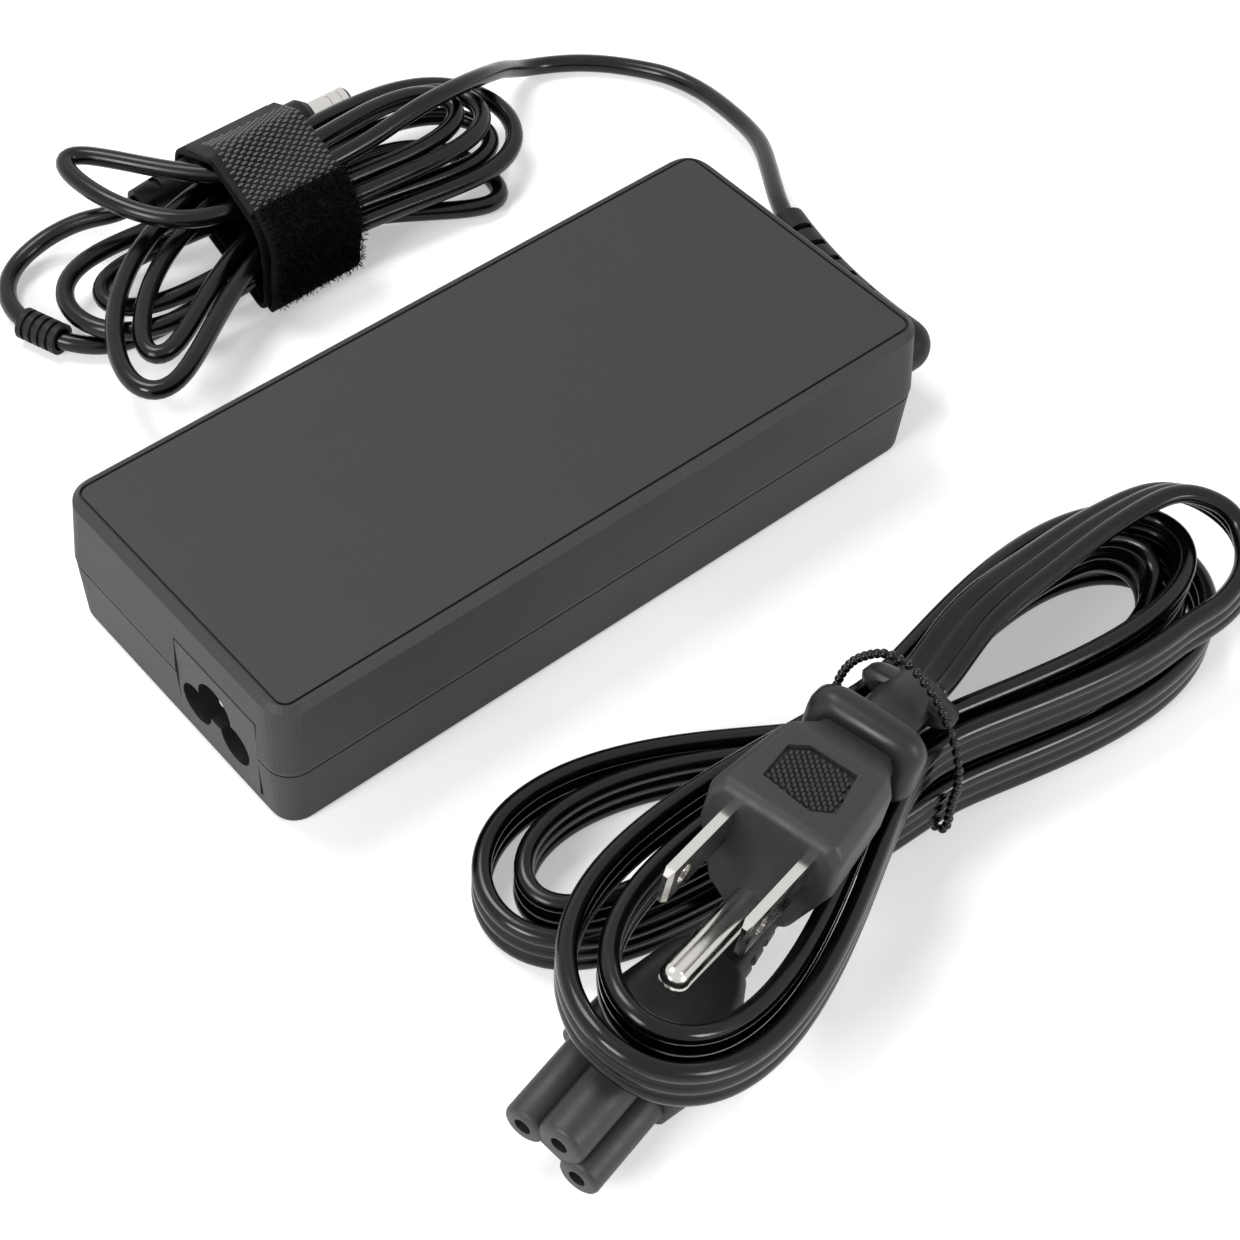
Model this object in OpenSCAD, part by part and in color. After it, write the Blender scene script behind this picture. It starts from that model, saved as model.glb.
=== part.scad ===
// Laptop power adapter with its output cord in a strapped hank and its mains lead in a tied hank.
// Millimetres, +Z up. Origin: centre of the housing's underside. +X: from the mains inlet to the output cord.

/* [Housing] */
// Length of the housing at its widest line
body_length = 132.6; // [126:0.1:145]
// Width of the housing at its widest line
body_width = 59.4; // [57:0.1:68]
// Height of the housing
body_height = 27.3; // [26.8:0.1:31]
// Height of the line where the two shells meet
parting_height = 12.7; // [12:0.1:13.4]
// Wall thickness of the shells
wall = 2.2; // [1.9:0.1:2.4]
// Corner radius of the shells in plan
corner_radius = 4.5; // [4:0.1:6]
// Slope of the side walls, as the inset at the far edge
draft = 0.65; // [0.3:0.05:0.9]
// Rise of the bevel along the top edge
bevel = 1; // [0.6:0.1:1.4]
// Rounding of the bottom edge
foot_round = 0.9; // [0.5:0.1:1.3]
// Width of the line between the shells
parting_gap = 0.35; // [0.2:0.05:0.5]
// Height of the tongue that the lower shell pushes into the upper one
tongue_height = 1.5; // [1:0.1:2]
// Distance from the edge of the lid to its panel groove
groove_inset = 2.3; // [2:0.1:3]
// Width of the panel groove
groove_width = 0.45; // [0.3:0.05:0.8]
// Depth of the panel groove
groove_depth = 0.5; // [0.3:0.05:0.8]

/* [Mains inlet] */
// Width of the inlet insert
inlet_width = 20.8; // [20:0.1:22]
// Top edge of the inlet insert
inlet_top = 20.5; // [19.5:0.1:21]
// Bottom edge of the inlet insert
inlet_bottom = 3.2; // [3:0.1:3.6]
// Length of the inlet insert
inlet_length = 17; // [16:0.1:18]
// Distance between the live and neutral pins
pin_pitch = 10; // [10:0.1:10.4]
// Rise of the earth pin above the other two
earth_rise = 4; // [3.8:0.1:4.4]
// Radius of the live and neutral lobes of the cavity
lobe_radius = 3.7; // [3.5:0.1:3.9]
// Radius of the earth lobe of the cavity
earth_lobe_radius = 4.2; // [4:0.1:4.4]
// Depth of the cavity
inlet_depth = 13.5; // [12.5:0.1:14]
// Radius of the contact pins
pin_radius = 1.2; // [1.1:0.05:1.3]
// Distance from the face to the tips of the live and neutral pins
pin_setback = 4.4; // [4.2:0.1:5]
// Distance from the face to the tip of the earth pin
earth_setback = 1.4; // [1:0.1:2]

/* [Output cord] */
// Diameter of the output cord
cord_d = 3.4; // [3:0.1:3.6]
// Radius of the moulded elbow at the housing
elbow_radius = 4.8; // [4.4:0.1:5.2]
// Radius of the boot's tip
boot_tip_radius = 3.2; // [2.8:0.1:3.6]
// Number of slots along the boot
boot_slots = 11; // [6:1:11]
// Radius of the plug's handle
handle_radius = 4.25; // [3.8:0.05:4.3]
// Outer radius of the plug's barrel
barrel_radius = 2.75; // [2.5:0.05:3]
// Radius of the socket in the plug's tip
socket_radius = 1.25; // [1.1:0.05:1.4]
// Thickness of one layer of the hook-and-loop strap
strap_thick = 1.1; // [0.8:0.1:1.2]
// Width of the strap
strap_width = 20.6; // [18:0.2:24]

/* [Mains lead] */
// Height of the flat cord on its edge
flat_h = 8.6; // [8:0.1:8.6]
// Thickness of the flat cord
flat_t = 3; // [2.6:0.1:3]
// Distance between the blades
blade_pitch = 12.7; // [12.7:0.1:13]
// Width of a blade
blade_w = 6.35; // [6.3:0.05:6.6]
// Thickness of a blade
blade_t = 1.5; // [1.4:0.05:1.6]
// Length of a blade
blade_l = 16.3; // [15.9:0.1:18]
// Diameter of the hole in a blade
blade_hole_d = 3.1; // [2.9:0.1:3.3]
// Distance from the blades' middle to the earth pin
earth_drop = 11.9; // [11.8:0.1:12]
// Diameter of the earth pin
earth_d = 4.75; // [4.7:0.05:4.8]
// Length of the earth pin
earth_l = 20.5; // [19:0.1:21.5]
// Diameter of the beads of the tie
bead_d = 1.5; // [1.3:0.1:1.6]
// Number of beads in the tie
bead_count = 54; // [40:1:60]

/* [Hidden] */
$fn = 40;
eps = 0.01;
corner_steps = 8;

// Housing levels
shell_gap = parting_gap / 2;
kink_z = parting_height + 0.9;
floor_z = wall;
ceiling_z = body_height - wall;
tongue_top = parting_height + tongue_height;
tongue_fit = 0.1;
half_l = body_length / 2;
half_w = body_width / 2;

// Inlet
inlet_x = -half_l + 0.3;
inlet_y = -12.2;
inlet_gap = 0.25;
pins_y = inlet_y + 0.7;
pins_z = 9.4;
inlet_back = inlet_x + inlet_length;
pin_tail = 4;
shank_radius = pin_radius + 0.2;

// Board, and the heat spreader under the lid; the tallest parts fill the room between them
board_lift = 2;
board_t = 1.6;
board_inlet_gap = 0.6;
board_end_gap = 8;
board_side_gap = 3;
board_z = floor_z + board_lift;
board_top = board_z + board_t;
board_x0 = inlet_back + board_inlet_gap;
board_x1 = half_l - board_end_gap;
board_w = body_width - 2 * (wall + board_side_gap);
board_y1 = board_w / 2;
post_radius = 2.4;
post_inset = [5, 4];
sheet_t = 0.4;
spreader_t = 0.8;
spreader_gap = 0.5;
spreader_side_gap = 1.5;
spreader_lip = 9;
spreader_slot = [8, 2.5];
spreader_slot_step = 18;
spreader_x0 = board_x0 + 6.4;
spreader_x1 = board_x1 - 4.3;
spreader_z = ceiling_z - spreader_gap - spreader_t;
part_h = spreader_z - board_top;

// Parts on the board, from the inlet to the output
part_gap = 1;
fuse_radius = 2.75;
fuse_length = 11;
fuse_cap = 2;
fuse_x = board_x0 + 8.4;
choke_ring = 6;
choke_wire = 2.9;
choke_x = board_x0 + 18.4;
choke_y = board_y1 - 18;
film_length = 9;
film_drop = 4;
film_x = choke_x - part_gap;
film_y0 = -board_y1 + 0.5;
film_y1 = choke_y - choke_ring - choke_wire - 3.6;
bridge_length = 3.6;
bridge_width = 15;
bridge_height = 11;
bridge_legs = 3;
bridge_x = board_x0 + 30.4;
core_length = 12;
core_width = 30;
core_leg = 8.5;
core_side = 3.75;
core_yoke = 3.5;
core_fit = 0.1;
core_x = board_x1 - 31.3;
core_y = board_y1 - 1.5 - core_width / 2;
winding_length = 25;
bulk_drop = 0.4;
bulk_radius = (part_h - bulk_drop) / 2;
bulk_x0 = bridge_x + 5;
bulk_x1 = core_x - winding_length / 2 - part_gap;
bulk_y = board_y1 - 1.2 - bulk_radius;
sink_t = 1.6;
sink_drop = 3;
sink_flange = 7.4;
sink_x0 = film_x + film_length / 2 + 8.5;
sink_x1 = core_x - 5;
sink_y = -board_y1 + 4.5;
transistor = [10, 4, 9];
output_cap_radius = 4;
output_cap_drop = 2;
output_cap_step = 10;
output_cap_x = board_x1 - 9.3;
optocoupler_size = [4.6, 6.4, 3.5];
wire_radius = 0.9;
wire_x = board_x1 - 12.3;
wire_spread = 3;
wire_cap_gap = 0.931;

// Output elbow
elbow_y = -20.1;
elbow_z = 12.9;
elbow_x = half_l + 5;

// Board ends of the output wires, and the first output capacitor, which stands a gap clear of them
wire_y = elbow_y + 4.1;
output_cap_y = wire_y + wire_spread
    + sqrt(pow(output_cap_radius + wire_radius + wire_cap_gap, 2) - pow(output_cap_x - wire_x, 2));

// Output boot
boot_bend = [elbow_x + 0.2, -2, elbow_z];
boot_tip = [elbow_x + 6.5, 15.2, elbow_z];

// Output plug, lying along +X in the strap
plug_y = 96.2;
plug_z = 8.8;
boot_x0 = -8.5;
handle_x0 = 4;
barrel_x0 = 30.8;
barrel_x1 = 40;

// Hank of the output cord
hank_centre = [12, 79];
layer_step = 4.35;
waist_lift = 1.5;
waist_half = 3.2;
turn_step = 4.5;
hank_from = 0.25;
hank_to = 5.25;

// Strap section: [y, z, radius] of the rounded corners of its inner face. It runs askew in plan: strap_skew is the
// shift along X for each millimetre of Y, and strap_x0 its left edge at the plug
strap_x0 = 2.96;
strap_skew = 0.17;
strap_room = [strap_width + 2, 60, 40];
strap_room_y = 50;
overlap_foot = 3;
tab_from = 76;
tab_gap = 0.2;
tab_foot = 2;
strap_corners = [[68.7, 4.7, 3.5], [69.8, 14.4, 4.6], [83.8, 17, 3.4], [plug_y, plug_z, handle_radius + 0.25],
    [plug_y + 1, 5.6, 4.4]];

// Hank of the mains cord
mains_centre = [10, -78.5];
mains_from = 1.12;
mains_to = 5.28;
mains_mid = 3;
flat_step = flat_h + 0.62;
tie_lift = bead_d + 0.4;

// Poses of the wall plug and the connector
wall_plug_at = [-27.1, -89.1, 29.5];
wall_plug_turn = [9.4, -2.8, 103.3];
connector_at = [-72, -97.8, 7.8];
connector_turn = [0, -21, 102.7];

// Routes of the cords' free stretches, chosen along their runs
cord_route = [
    boot_tip, [81, 21, 12.2], [87.5, 30, 10], [92.5, 37, 8], [96, 43.8, 6], [98.6, 53.5, 4], [99.8, 61.8, 2.5],
    [98.6, 69.2, 2], [95.6, 74.7, 1.8], [91.3, 80.2, 1.8], [86, 84.8, 1.8], [81, 87.4, 2], [77.5, 88, 2.8],
    [73.6, 87, 5], [68.7, 84.6, 8.8], [63.5, 81.8, 12.2], [59, 79.8, 14.6], [54.6, 78.4, 16.3], [50.4, 77.4, 17.4],
    [46.9, 76.9, 17.9], [42, 76.5, 18.1], [37, 76.1, 17.8], [31, 75.8, 17.1], [25, 75.8, 16.6], [20, 76, 16.3]
];
tail_route = [
    [5, 75.4, 3.2], [-1.5, 74.9, 3.15], [-8, 73.8, 2.1], [-14, 73, 1.8], [-23, 73, 1.8], [-30.5, 75, 2.2], [-35.7, 80, 2.8],
    [-38.2, 87, 3], [-37.6, 95, 2.6], [-32.8, 101.3, 2.6], [-25, 103, 4.2], [-18, 100.5, 6.8], [-12.5, 96.7, 8.3]
];
sleeve_from = 6;
start_route = [
    [31, -74.8, 23.2], [46, -73.8, 22.8], [60, -73.8, 22.8], [72, -75.6, 22.5], [78, -80.5, 20.2],
    [79.5, -86, 17.2], [75, -91.5, 15.2], [67.5, -93.8, 14.5]
];
end_route = [[-9, -87, 5.4]];

// ---------- functions ----------

function unit(v) = v / norm(v);
function clamp01(t) = min(1, max(0, t));

// Plan outline of a box with round corners, as points at one height
function rounded_ring(l, w, r, z) = [
    for (q = [0:3], s = [0:corner_steps])
        let (a = 90 * (q + s / corner_steps))
        [((q == 0 || q == 3) ? 1 : -1) * (l / 2 - r) + r * cos(a), (q < 2 ? 1 : -1) * (w / 2 - r) + r * sin(a), z]
];
function body_ring(inset, r, z) = rounded_ring(body_length - 2 * inset, body_width - 2 * inset, r, z);

// Catmull-Rom points through a route, with cuts between each two
function spline(p, cuts) = [
    for (i = [0:len(p) - 2], k = [0:cuts - 1])
        let (a = p[max(i - 1, 0)], b = p[i], c = p[i + 1], d = p[min(i + 2, len(p) - 1)], t = k / cuts)
        0.5 * (2 * b + (c - a) * t + (2 * a - 5 * b + 4 * c - d) * t * t + (3 * b - a - 3 * c + d) * t * t * t),
    p[len(p) - 1]
];

// Distance travelled along a path at each of its points, and the point at a distance
function travelled(p) = [for (i = 0, s = 0; i < len(p); s = s + (i + 1 < len(p) ? norm(p[i + 1] - p[i]) : 0), i = i + 1) s];
function at_distance(p, run, s) =
    let (k = [for (i = [0:len(p) - 2]) if (run[i] <= s) i], i = k[len(k) - 1], t = (s - run[i]) / (run[i + 1] - run[i]))
    p[i] * (1 - clamp01(t)) + p[i + 1] * clamp01(t);

// Direction along a path at each point; first and last can be given
function headings(p, first, last) = [
    for (i = [0:len(p) - 1])
        i == 0 && first != undef ? unit(first)
        : i == len(p) - 1 && last != undef ? unit(last)
        : unit(p[min(i + 1, len(p) - 1)] - p[max(i - 1, 0)])
];

// One ring of a swept outline: outline x lies level across the path, outline y stands up
function path_ring(p, d, outline, lean = 0) =
    let (level = abs(d.z) > 0.95 ? [1, 0, 0] : [0, 0, 1], side = unit(cross(level, d)), up = cross(d, side))
    [for (q = outline)
        p + side * (q.x * cos(lean) - q.y * sin(lean)) + up * (q.x * sin(lean) + q.y * cos(lean))];
function circle_outline(r, n) = [for (j = [0:n - 1]) [r * cos(360 * (j + 0.5) / n), r * sin(360 * (j + 0.5) / n)]];

// Outline of the flat cord on its edge: six corners
flat_outline = [
    [flat_t / 2, -flat_h / 2 + flat_t / 3], [flat_t / 2, flat_h / 2 - flat_t / 3], [0, flat_h / 2],
    [-flat_t / 2, flat_h / 2 - flat_t / 3], [-flat_t / 2, -flat_h / 2 + flat_t / 3], [0, -flat_h / 2]
];

// Centre line of the output cord's hank after a number of turns
function hank_layer(turns) =
    let (w = 0.3) clamp01((turns - 1) / w + 0.5) + clamp01((turns - 2.96) / w + 0.5) + clamp01((turns - 4.88) / w + 0.5);
function hank_index(turns) = turns < 1 ? 0 : turns < 3 ? turns - 1 : turns < 5 ? 5 - turns : 0;
left_reach = [30, 38.5, 35, 35];
left_bend = [22, -16.5, 2, 2];
left_bulge = [23, 4, 4.5, 4.5];
function hank_point(turns) =
    let (
        c = cos(360 * turns), s = sin(360 * turns), q = hank_layer(turns), r = hank_index(turns), n = round(q),
        right = c >= 0,
        reach = right ? 40 + 5 * r : left_reach[n] + 6 * r,
        bulge = right ? 8 + 2.2 * r + 10 * max(0, q - 2) : left_bulge[n] + 5.8 * r,
        bend = right ? -3.5 * max(0, q - 1) - 5 * max(0, q - 2) : left_bend[n] * (1 + 0.25 * r),
        early = !right && n == 1 ? 1.1 : 1,
        lift = !right && n == 0 ? 2.5 * c * c : 0
    )
    [
        hank_centre.x + reach * c,
        hank_centre.y - s * (waist_half + turn_step * r + bulge * c * c) + bend * (1 - pow(1 - c * c, early)),
        cord_d / 2 + layer_step * (3 - q) + waist_lift * (1 - c * c) + lift
    ];

// Centre line of the mains cord's hank: two layers, wound in on top and out again below
function soft_abs(c) = sqrt(c * c + 0.01) - 0.1;
function mains_point(turns) =
    let (
        c = cos(360 * turns), s = sin(360 * turns), r = abs(turns - mains_mid), m = soft_abs(c) / soft_abs(1),
        q = clamp01((turns - mains_mid) / 0.16 + 0.5),
        upper = turns < mains_mid,
        reach = c >= 0 ? 58 + 4.5 * r : upper ? 64.5 + 5.5 * r : 54 + 6 * r,
        bulge = c >= 0 ? 13 + 4 * r : upper ? 21.5 + 5 * r : 13 + 6 * r,
        bend = c >= 0 ? 0 : upper ? -17 * m : 14.4 * (1 - (1 - m) * (1 - m)),
        lift = c < 0 && upper ? 10.2 * m * c * c : 0
    )
    [
        mains_centre.x + reach * c,
        mains_centre.y - s * (1 + 4.1 * r + bulge * soft_abs(c)) + bend,
        flat_h / 2 + flat_step * (1 - q) + lift + tie_lift * (1 - c * c)
    ];

hank_turns = [for (i = [0:24 * (hank_to - hank_from)]) hank_from + i / 24];
hank_path = [for (t = hank_turns) hank_point(t)];
mains_count = ceil(24 * (mains_to - mains_from));
mains_path = [for (i = [0:mains_count]) mains_point(mains_from + (mains_to - mains_from) * i / mains_count)];
hank_in = unit(hank_point(hank_from + 0.01) - hank_point(hank_from));
hank_out = unit(hank_point(hank_to) - hank_point(hank_to - 0.01));
mains_in = unit(mains_point(mains_from + 0.01) - mains_point(mains_from));
mains_out = unit(mains_point(mains_to) - mains_point(mains_to - 0.01));

// Least gap of each hank to itself, measured on points a quarter of a ring apart
hank_fine = [for (i = [0:96 * (hank_to - hank_from)]) hank_point(hank_from + i / 96)];
mains_fine = [for (i = [0:96 * (mains_to - mains_from)]) mains_point(mains_from + i / 96)];
function round_gap(a, b) = norm(a - b) - cord_d;
function flat_gap(a, b) = max(norm([a.x - b.x, a.y - b.y]) - flat_t, abs(a.z - b.z) - flat_h);
hank_gap = min([for (i = [0:len(hank_fine) - 1], j = [i + 40:1:len(hank_fine) - 1]) round_gap(hank_fine[i], hank_fine[j])]);
mains_gap = min([for (i = [0:len(mains_fine) - 1], j = [i + 40:1:len(mains_fine) - 1]) flat_gap(mains_fine[i], mains_fine[j])]);
echo(output_hank_gap = hank_gap, mains_hank_gap = mains_gap);

// ---------- shared shapes ----------

// Solid skin over a stack of rings that have equal counts of points
module skin(rings) {
    n = len(rings[0]);
    m = len(rings);
    polyhedron(
        points = [for (r = rings) each r],
        faces = [
            [for (j = [0:n - 1]) j],
            for (i = [0:m - 2], j = [0:n - 1])
                let (k = (j + 1) % n) each [[i * n + j, i * n + n + j, i * n + n + k], [i * n + j, i * n + n + k, i * n + k]],
            [for (j = [n - 1:-1:0]) (m - 1) * n + j]
        ],
        convexity = 8
    );
}

// Tube swept along a path; its end rings stand square to the given directions
module tube(path, outline, first, last) {
    d = headings(path, first, last);
    skin([for (i = [0:len(path) - 1]) path_ring(path[i], d[i], outline)]);
}

module along_x(x, y, z, length, r, r2 = undef) {
    translate([x, y, z]) rotate([0, 90, 0]) cylinder(h = length, r1 = r, r2 = r2 == undef ? r : r2);
}

module along_y(x, y, z, length, r) {
    translate([x, y, z]) rotate([-90, 0, 0]) cylinder(h = length, r = r);
}

module block(x, y, z, l, w, h) {
    translate([x - l / 2, y - w / 2, z]) cube([l, w, h]);
}

// ---------- housing ----------

module inlet_window(clear) {
    translate([inlet_x - 3, inlet_y - inlet_width / 2 - clear, inlet_bottom - clear])
        cube([wall + 8, inlet_width + 2 * clear, inlet_top - inlet_bottom + 2 * clear]);
}

module elbow_window() {
    along_x(half_l - wall - 4, elbow_y, elbow_z, wall + 8, elbow_radius + 0.1);
}

module upper_housing() {
    color("#3a3a3c")
    difference() {
        skin([
            body_ring(0.1, corner_radius, parting_height + shell_gap), body_ring(0, corner_radius, kink_z),
            body_ring(draft, corner_radius + 0.5, body_height - bevel),
            body_ring(draft + bevel, corner_radius - bevel / 2, body_height)
        ]);
        skin([
            body_ring(wall, corner_radius - wall + 0.4, parting_height - 1),
            body_ring(wall + draft, corner_radius - wall + 0.4, ceiling_z)
        ]);
        skin([
            body_ring(wall / 2, corner_radius - wall / 2, parting_height - 1),
            body_ring(wall / 2, corner_radius - wall / 2, tongue_top)
        ]);
        difference() {
            skin([
                body_ring(groove_inset, 2.2, body_height - groove_depth), body_ring(groove_inset, 2.2, body_height + 1)
            ]);
            skin([
                body_ring(groove_inset + groove_width, 1.8, body_height - groove_depth - 1),
                body_ring(groove_inset + groove_width, 1.8, body_height + 2)
            ]);
        }
        inlet_window(inlet_gap);
        elbow_window();
    }
}

module lower_housing() {
    color("#323234")
    difference() {
        union() {
            difference() {
                skin([
                    body_ring(draft + foot_round, corner_radius - 1.1, 0),
                    body_ring(draft + foot_round * 0.3, corner_radius - 0.5, foot_round * 0.3),
                    body_ring(draft, corner_radius - 0.2, foot_round),
                    body_ring(0.1, corner_radius, parting_height - shell_gap)
                ]);
                skin([
                    body_ring(wall + draft, corner_radius - wall, floor_z), body_ring(wall, corner_radius - wall, parting_height)
                ]);
            }
            difference() {
                skin([
                    body_ring(wall / 2 + tongue_fit, corner_radius - wall / 2, parting_height - 2),
                    body_ring(wall / 2 + tongue_fit, corner_radius - wall / 2, tongue_top)
                ]);
                skin([
                    body_ring(wall, corner_radius - wall, parting_height - 3),
                    body_ring(wall, corner_radius - wall, tongue_top + 1)
                ]);
            }
            board_posts(floor_z - eps, board_z);
            for (side = [-1, 1])
                block(inlet_x + 10, inlet_y + side * 6, floor_z - eps, 8, 1.4, inlet_bottom - floor_z + eps);
        }
        inlet_window(inlet_gap);
        elbow_window();
    }
}

module board_posts(z0, z1, r = post_radius) {
    for (x = [board_x0 + post_inset.x, board_x1 - post_inset.x], side = [-1, 1])
        translate([x, side * (board_y1 - post_inset.y), z0]) cylinder(h = z1 - z0, r = r);
}

// ---------- mains inlet ----------

module inlet_profile() {
    for (side = [-1, 1])
        along_x(inlet_x - 1, pins_y + side * pin_pitch / 2, pins_z, inlet_depth + 1, lobe_radius);
    along_x(inlet_x - 1, pins_y, pins_z + earth_rise, inlet_depth + 1, earth_lobe_radius);
}

module inlet_housing() {
    color("#2a2a2c")
    difference() {
        union() {
            translate([inlet_x, inlet_y - inlet_width / 2, inlet_bottom])
                cube([inlet_length, inlet_width, inlet_top - inlet_bottom]);
            translate([inlet_x + wall + 0.6, inlet_y - inlet_width / 2 - 1.2, inlet_bottom])
                cube([1.5, inlet_width + 2.4, inlet_top - inlet_bottom + 1.2]);
        }
        inlet_profile();
        for (side = [-1, 1])
            along_x(inlet_x, pins_y + side * pin_pitch / 2, pins_z, inlet_length + 1, shank_radius);
        along_x(inlet_x, pins_y, pins_z + earth_rise, inlet_length + 1, shank_radius);
    }
}

// Round contact pin with a domed tip, a thicker shank in the insert, a collar behind it and a leg down to the board
module inlet_pin(y, z, setback, tail) {
    tip = inlet_x + setback;
    floor_x = inlet_x + inlet_depth;
    color("#c8c8c6") {
        along_x(tip + pin_radius * 0.6, y, z, inlet_back + tail - tip - pin_radius * 0.6, pin_radius);
        along_x(floor_x, y, z, inlet_back - floor_x, shank_radius);
        along_x(tip, y, z, pin_radius * 0.6 + eps, pin_radius * 0.55, pin_radius);
        along_x(inlet_back, y, z, 0.8, pin_radius + 0.6);
        translate([inlet_back + tail, y, board_top]) cylinder(h = z - board_top, r = pin_radius * 0.7);
        translate([inlet_back + tail, y, z]) sphere(r = pin_radius);
    }
}

module inlet_live_pin() inlet_pin(pins_y - pin_pitch / 2, pins_z, pin_setback, pin_tail);
module inlet_neutral_pin() inlet_pin(pins_y + pin_pitch / 2, pins_z, pin_setback, pin_tail);
module inlet_earth_pin() inlet_pin(pins_y, pins_z + earth_rise, earth_setback, pin_tail + 3);

// ---------- inside the housing ----------

module circuit_board() {
    color("#2f6b3c")
    difference() {
        translate([board_x0, -board_y1, board_z]) cube([board_x1 - board_x0, board_w, board_t]);
        translate([board_x0 - 1, board_y1 - 3, board_z - 1]) cube([4, 4, board_t + 2]);
    }
}

module insulation_sheet() {
    color("#d8cfa8")
    difference() {
        translate([board_x0, -board_y1, floor_z]) cube([board_x1 - board_x0, board_w, sheet_t]);
        board_posts(floor_z - 1, floor_z + 1, post_radius + 0.5);
    }
}

// Folded aluminium sheet over the parts, with a slotted lip down each long side
module heat_spreader() {
    l = spreader_x1 - spreader_x0;
    w = body_width - 2 * (wall + spreader_side_gap);
    color("#b9bcc0")
    difference() {
        translate([spreader_x0, -w / 2, spreader_z - spreader_lip]) cube([l, w, spreader_lip + spreader_t]);
        translate([spreader_x0 - 1, -w / 2 + spreader_t, spreader_z - spreader_lip - 1])
            cube([l + 2, w - 2 * spreader_t, spreader_lip + 1]);
        for (x = [spreader_x0 + 2 * spreader_slot.x:spreader_slot_step:spreader_x1 - spreader_slot.x])
            translate([x, -w, spreader_z - spreader_lip * 2 / 3]) cube([spreader_slot.x, 2 * w, spreader_slot.y]);
    }
}

module input_fuse() {
    y0 = board_y1 - fuse_length - 0.5;
    z = board_top + fuse_radius;
    color("#d9c27a") along_y(fuse_x, y0 + fuse_cap / 2, z, fuse_length - fuse_cap, fuse_radius - 0.2);
    color("#c8c8c6") for (y = [y0, y0 + fuse_length - fuse_cap]) along_y(fuse_x, y, z, fuse_cap, fuse_radius);
}

module x_capacitor() {
    color("#c9a227") block(film_x, (film_y0 + film_y1) / 2, board_top, film_length, film_y1 - film_y0, part_h - film_drop);
}

module common_mode_choke() {
    translate([choke_x, choke_y, board_top + choke_wire]) {
        color("#3b3b3b") rotate_extrude() translate([choke_ring, 0]) circle(r = choke_wire - 0.7);
        color("#b06a35")
        for (a = [-50:25:50], side = [0, 180])
            rotate([0, 0, a + side]) translate([choke_ring, 0, 0]) rotate([90, 0, 0])
                cylinder(h = choke_wire * 0.7, r = choke_wire, center = true);
    }
}

module bridge_rectifier() {
    y = board_y1 - bridge_width / 2;
    pitch = bridge_width / 4;
    color("#262626") block(bridge_x, y, board_top + bridge_legs, bridge_length, bridge_width, bridge_height);
    color("#c8c8c6") for (k = [-1.5:1:1.5]) block(bridge_x, y + k * pitch, board_top, 0.6, 0.9, bridge_legs + eps);
}

module bulk_capacitor() {
    z = board_top + bulk_radius;
    color("#25324d") along_x(bulk_x0, bulk_y, z, bulk_x1 - bulk_x0, bulk_radius);
    color("#c8c8c6") along_x(bulk_x0 - 0.4, bulk_y, z, 0.5, bulk_radius - 1.2);
}

module transformer_core() {
    slot = (core_width - core_leg) / 2 - core_side;
    color("#4a4a4a")
    difference() {
        block(core_x, core_y, board_top, core_length, core_width, part_h);
        for (side = [-1, 1])
            block(core_x, core_y + side * (core_leg + slot) / 2, board_top + core_yoke, core_length + 1, slot, part_h - 2 * core_yoke);
    }
}

module transformer_winding() {
    z = board_top + core_yoke + core_fit;
    color("#c8862c")
    difference() {
        block(core_x, core_y, z, winding_length, core_width - 2 * core_side - 3 * core_fit, part_h - 2 * (core_yoke + core_fit));
        block(core_x, core_y, z - 1, core_length + core_fit, core_leg + core_fit, part_h);
    }
}

// Upright aluminium plate with the power transistors clipped to it
module transistor_heat_sink() {
    l = sink_x1 - sink_x0;
    x = (sink_x0 + sink_x1) / 2;
    h = part_h - sink_drop;
    color("#9a9da1") {
        block(x, sink_y, board_top, l, sink_t, h);
        block(x, sink_y + (sink_flange - sink_t) / 2, board_top + h - sink_t, l, sink_flange, sink_t);
    }
    color("#262626")
    for (k = [1, 3])
        block(sink_x0 + l * k / 5, sink_y + (sink_t + transistor.y) / 2, board_top + 3, transistor.x, transistor.y, transistor.z);
}

module output_capacitors() {
    color("#2c2540")
    for (k = [0:2])
        translate([output_cap_x, output_cap_y + k * output_cap_step, board_top])
            cylinder(h = part_h - output_cap_drop, r = output_cap_radius);
}

module optocoupler() {
    color("#e8e8e4")
    block(core_x - 17, core_y - 14, board_top, optocoupler_size.x, optocoupler_size.y, optocoupler_size.z);
}

module dc_output_wires() {
    color("#8c1f1f")
    for (side = [-1, 1])
        tube(
            spline([[wire_x, wire_y + wire_spread * side, board_top + 0.2], [wire_x + 0.5, wire_y + wire_spread * side, board_top + 5],
                [wire_x + 6, elbow_y + 3.1 + 2.4 * side, elbow_z], [half_l - wall - 3.4, elbow_y + 1.5 * side, elbow_z]], 3),
            circle_outline(wire_radius, 8), [0, 0.01, 1], [1, 0, 0]
        );
}

// ---------- output cord, strain relief and plug ----------

function boot_at(t) = (1 - t) * (1 - t) * [elbow_x, elbow_y, elbow_z] + 2 * t * (1 - t) * boot_bend + t * t * boot_tip;
function boot_dir(t) = unit((1 - t) * (boot_bend - [elbow_x, elbow_y, elbow_z]) + t * (boot_tip - boot_bend));
function boot_r(t) = elbow_radius - (elbow_radius - boot_tip_radius) * t;

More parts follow.
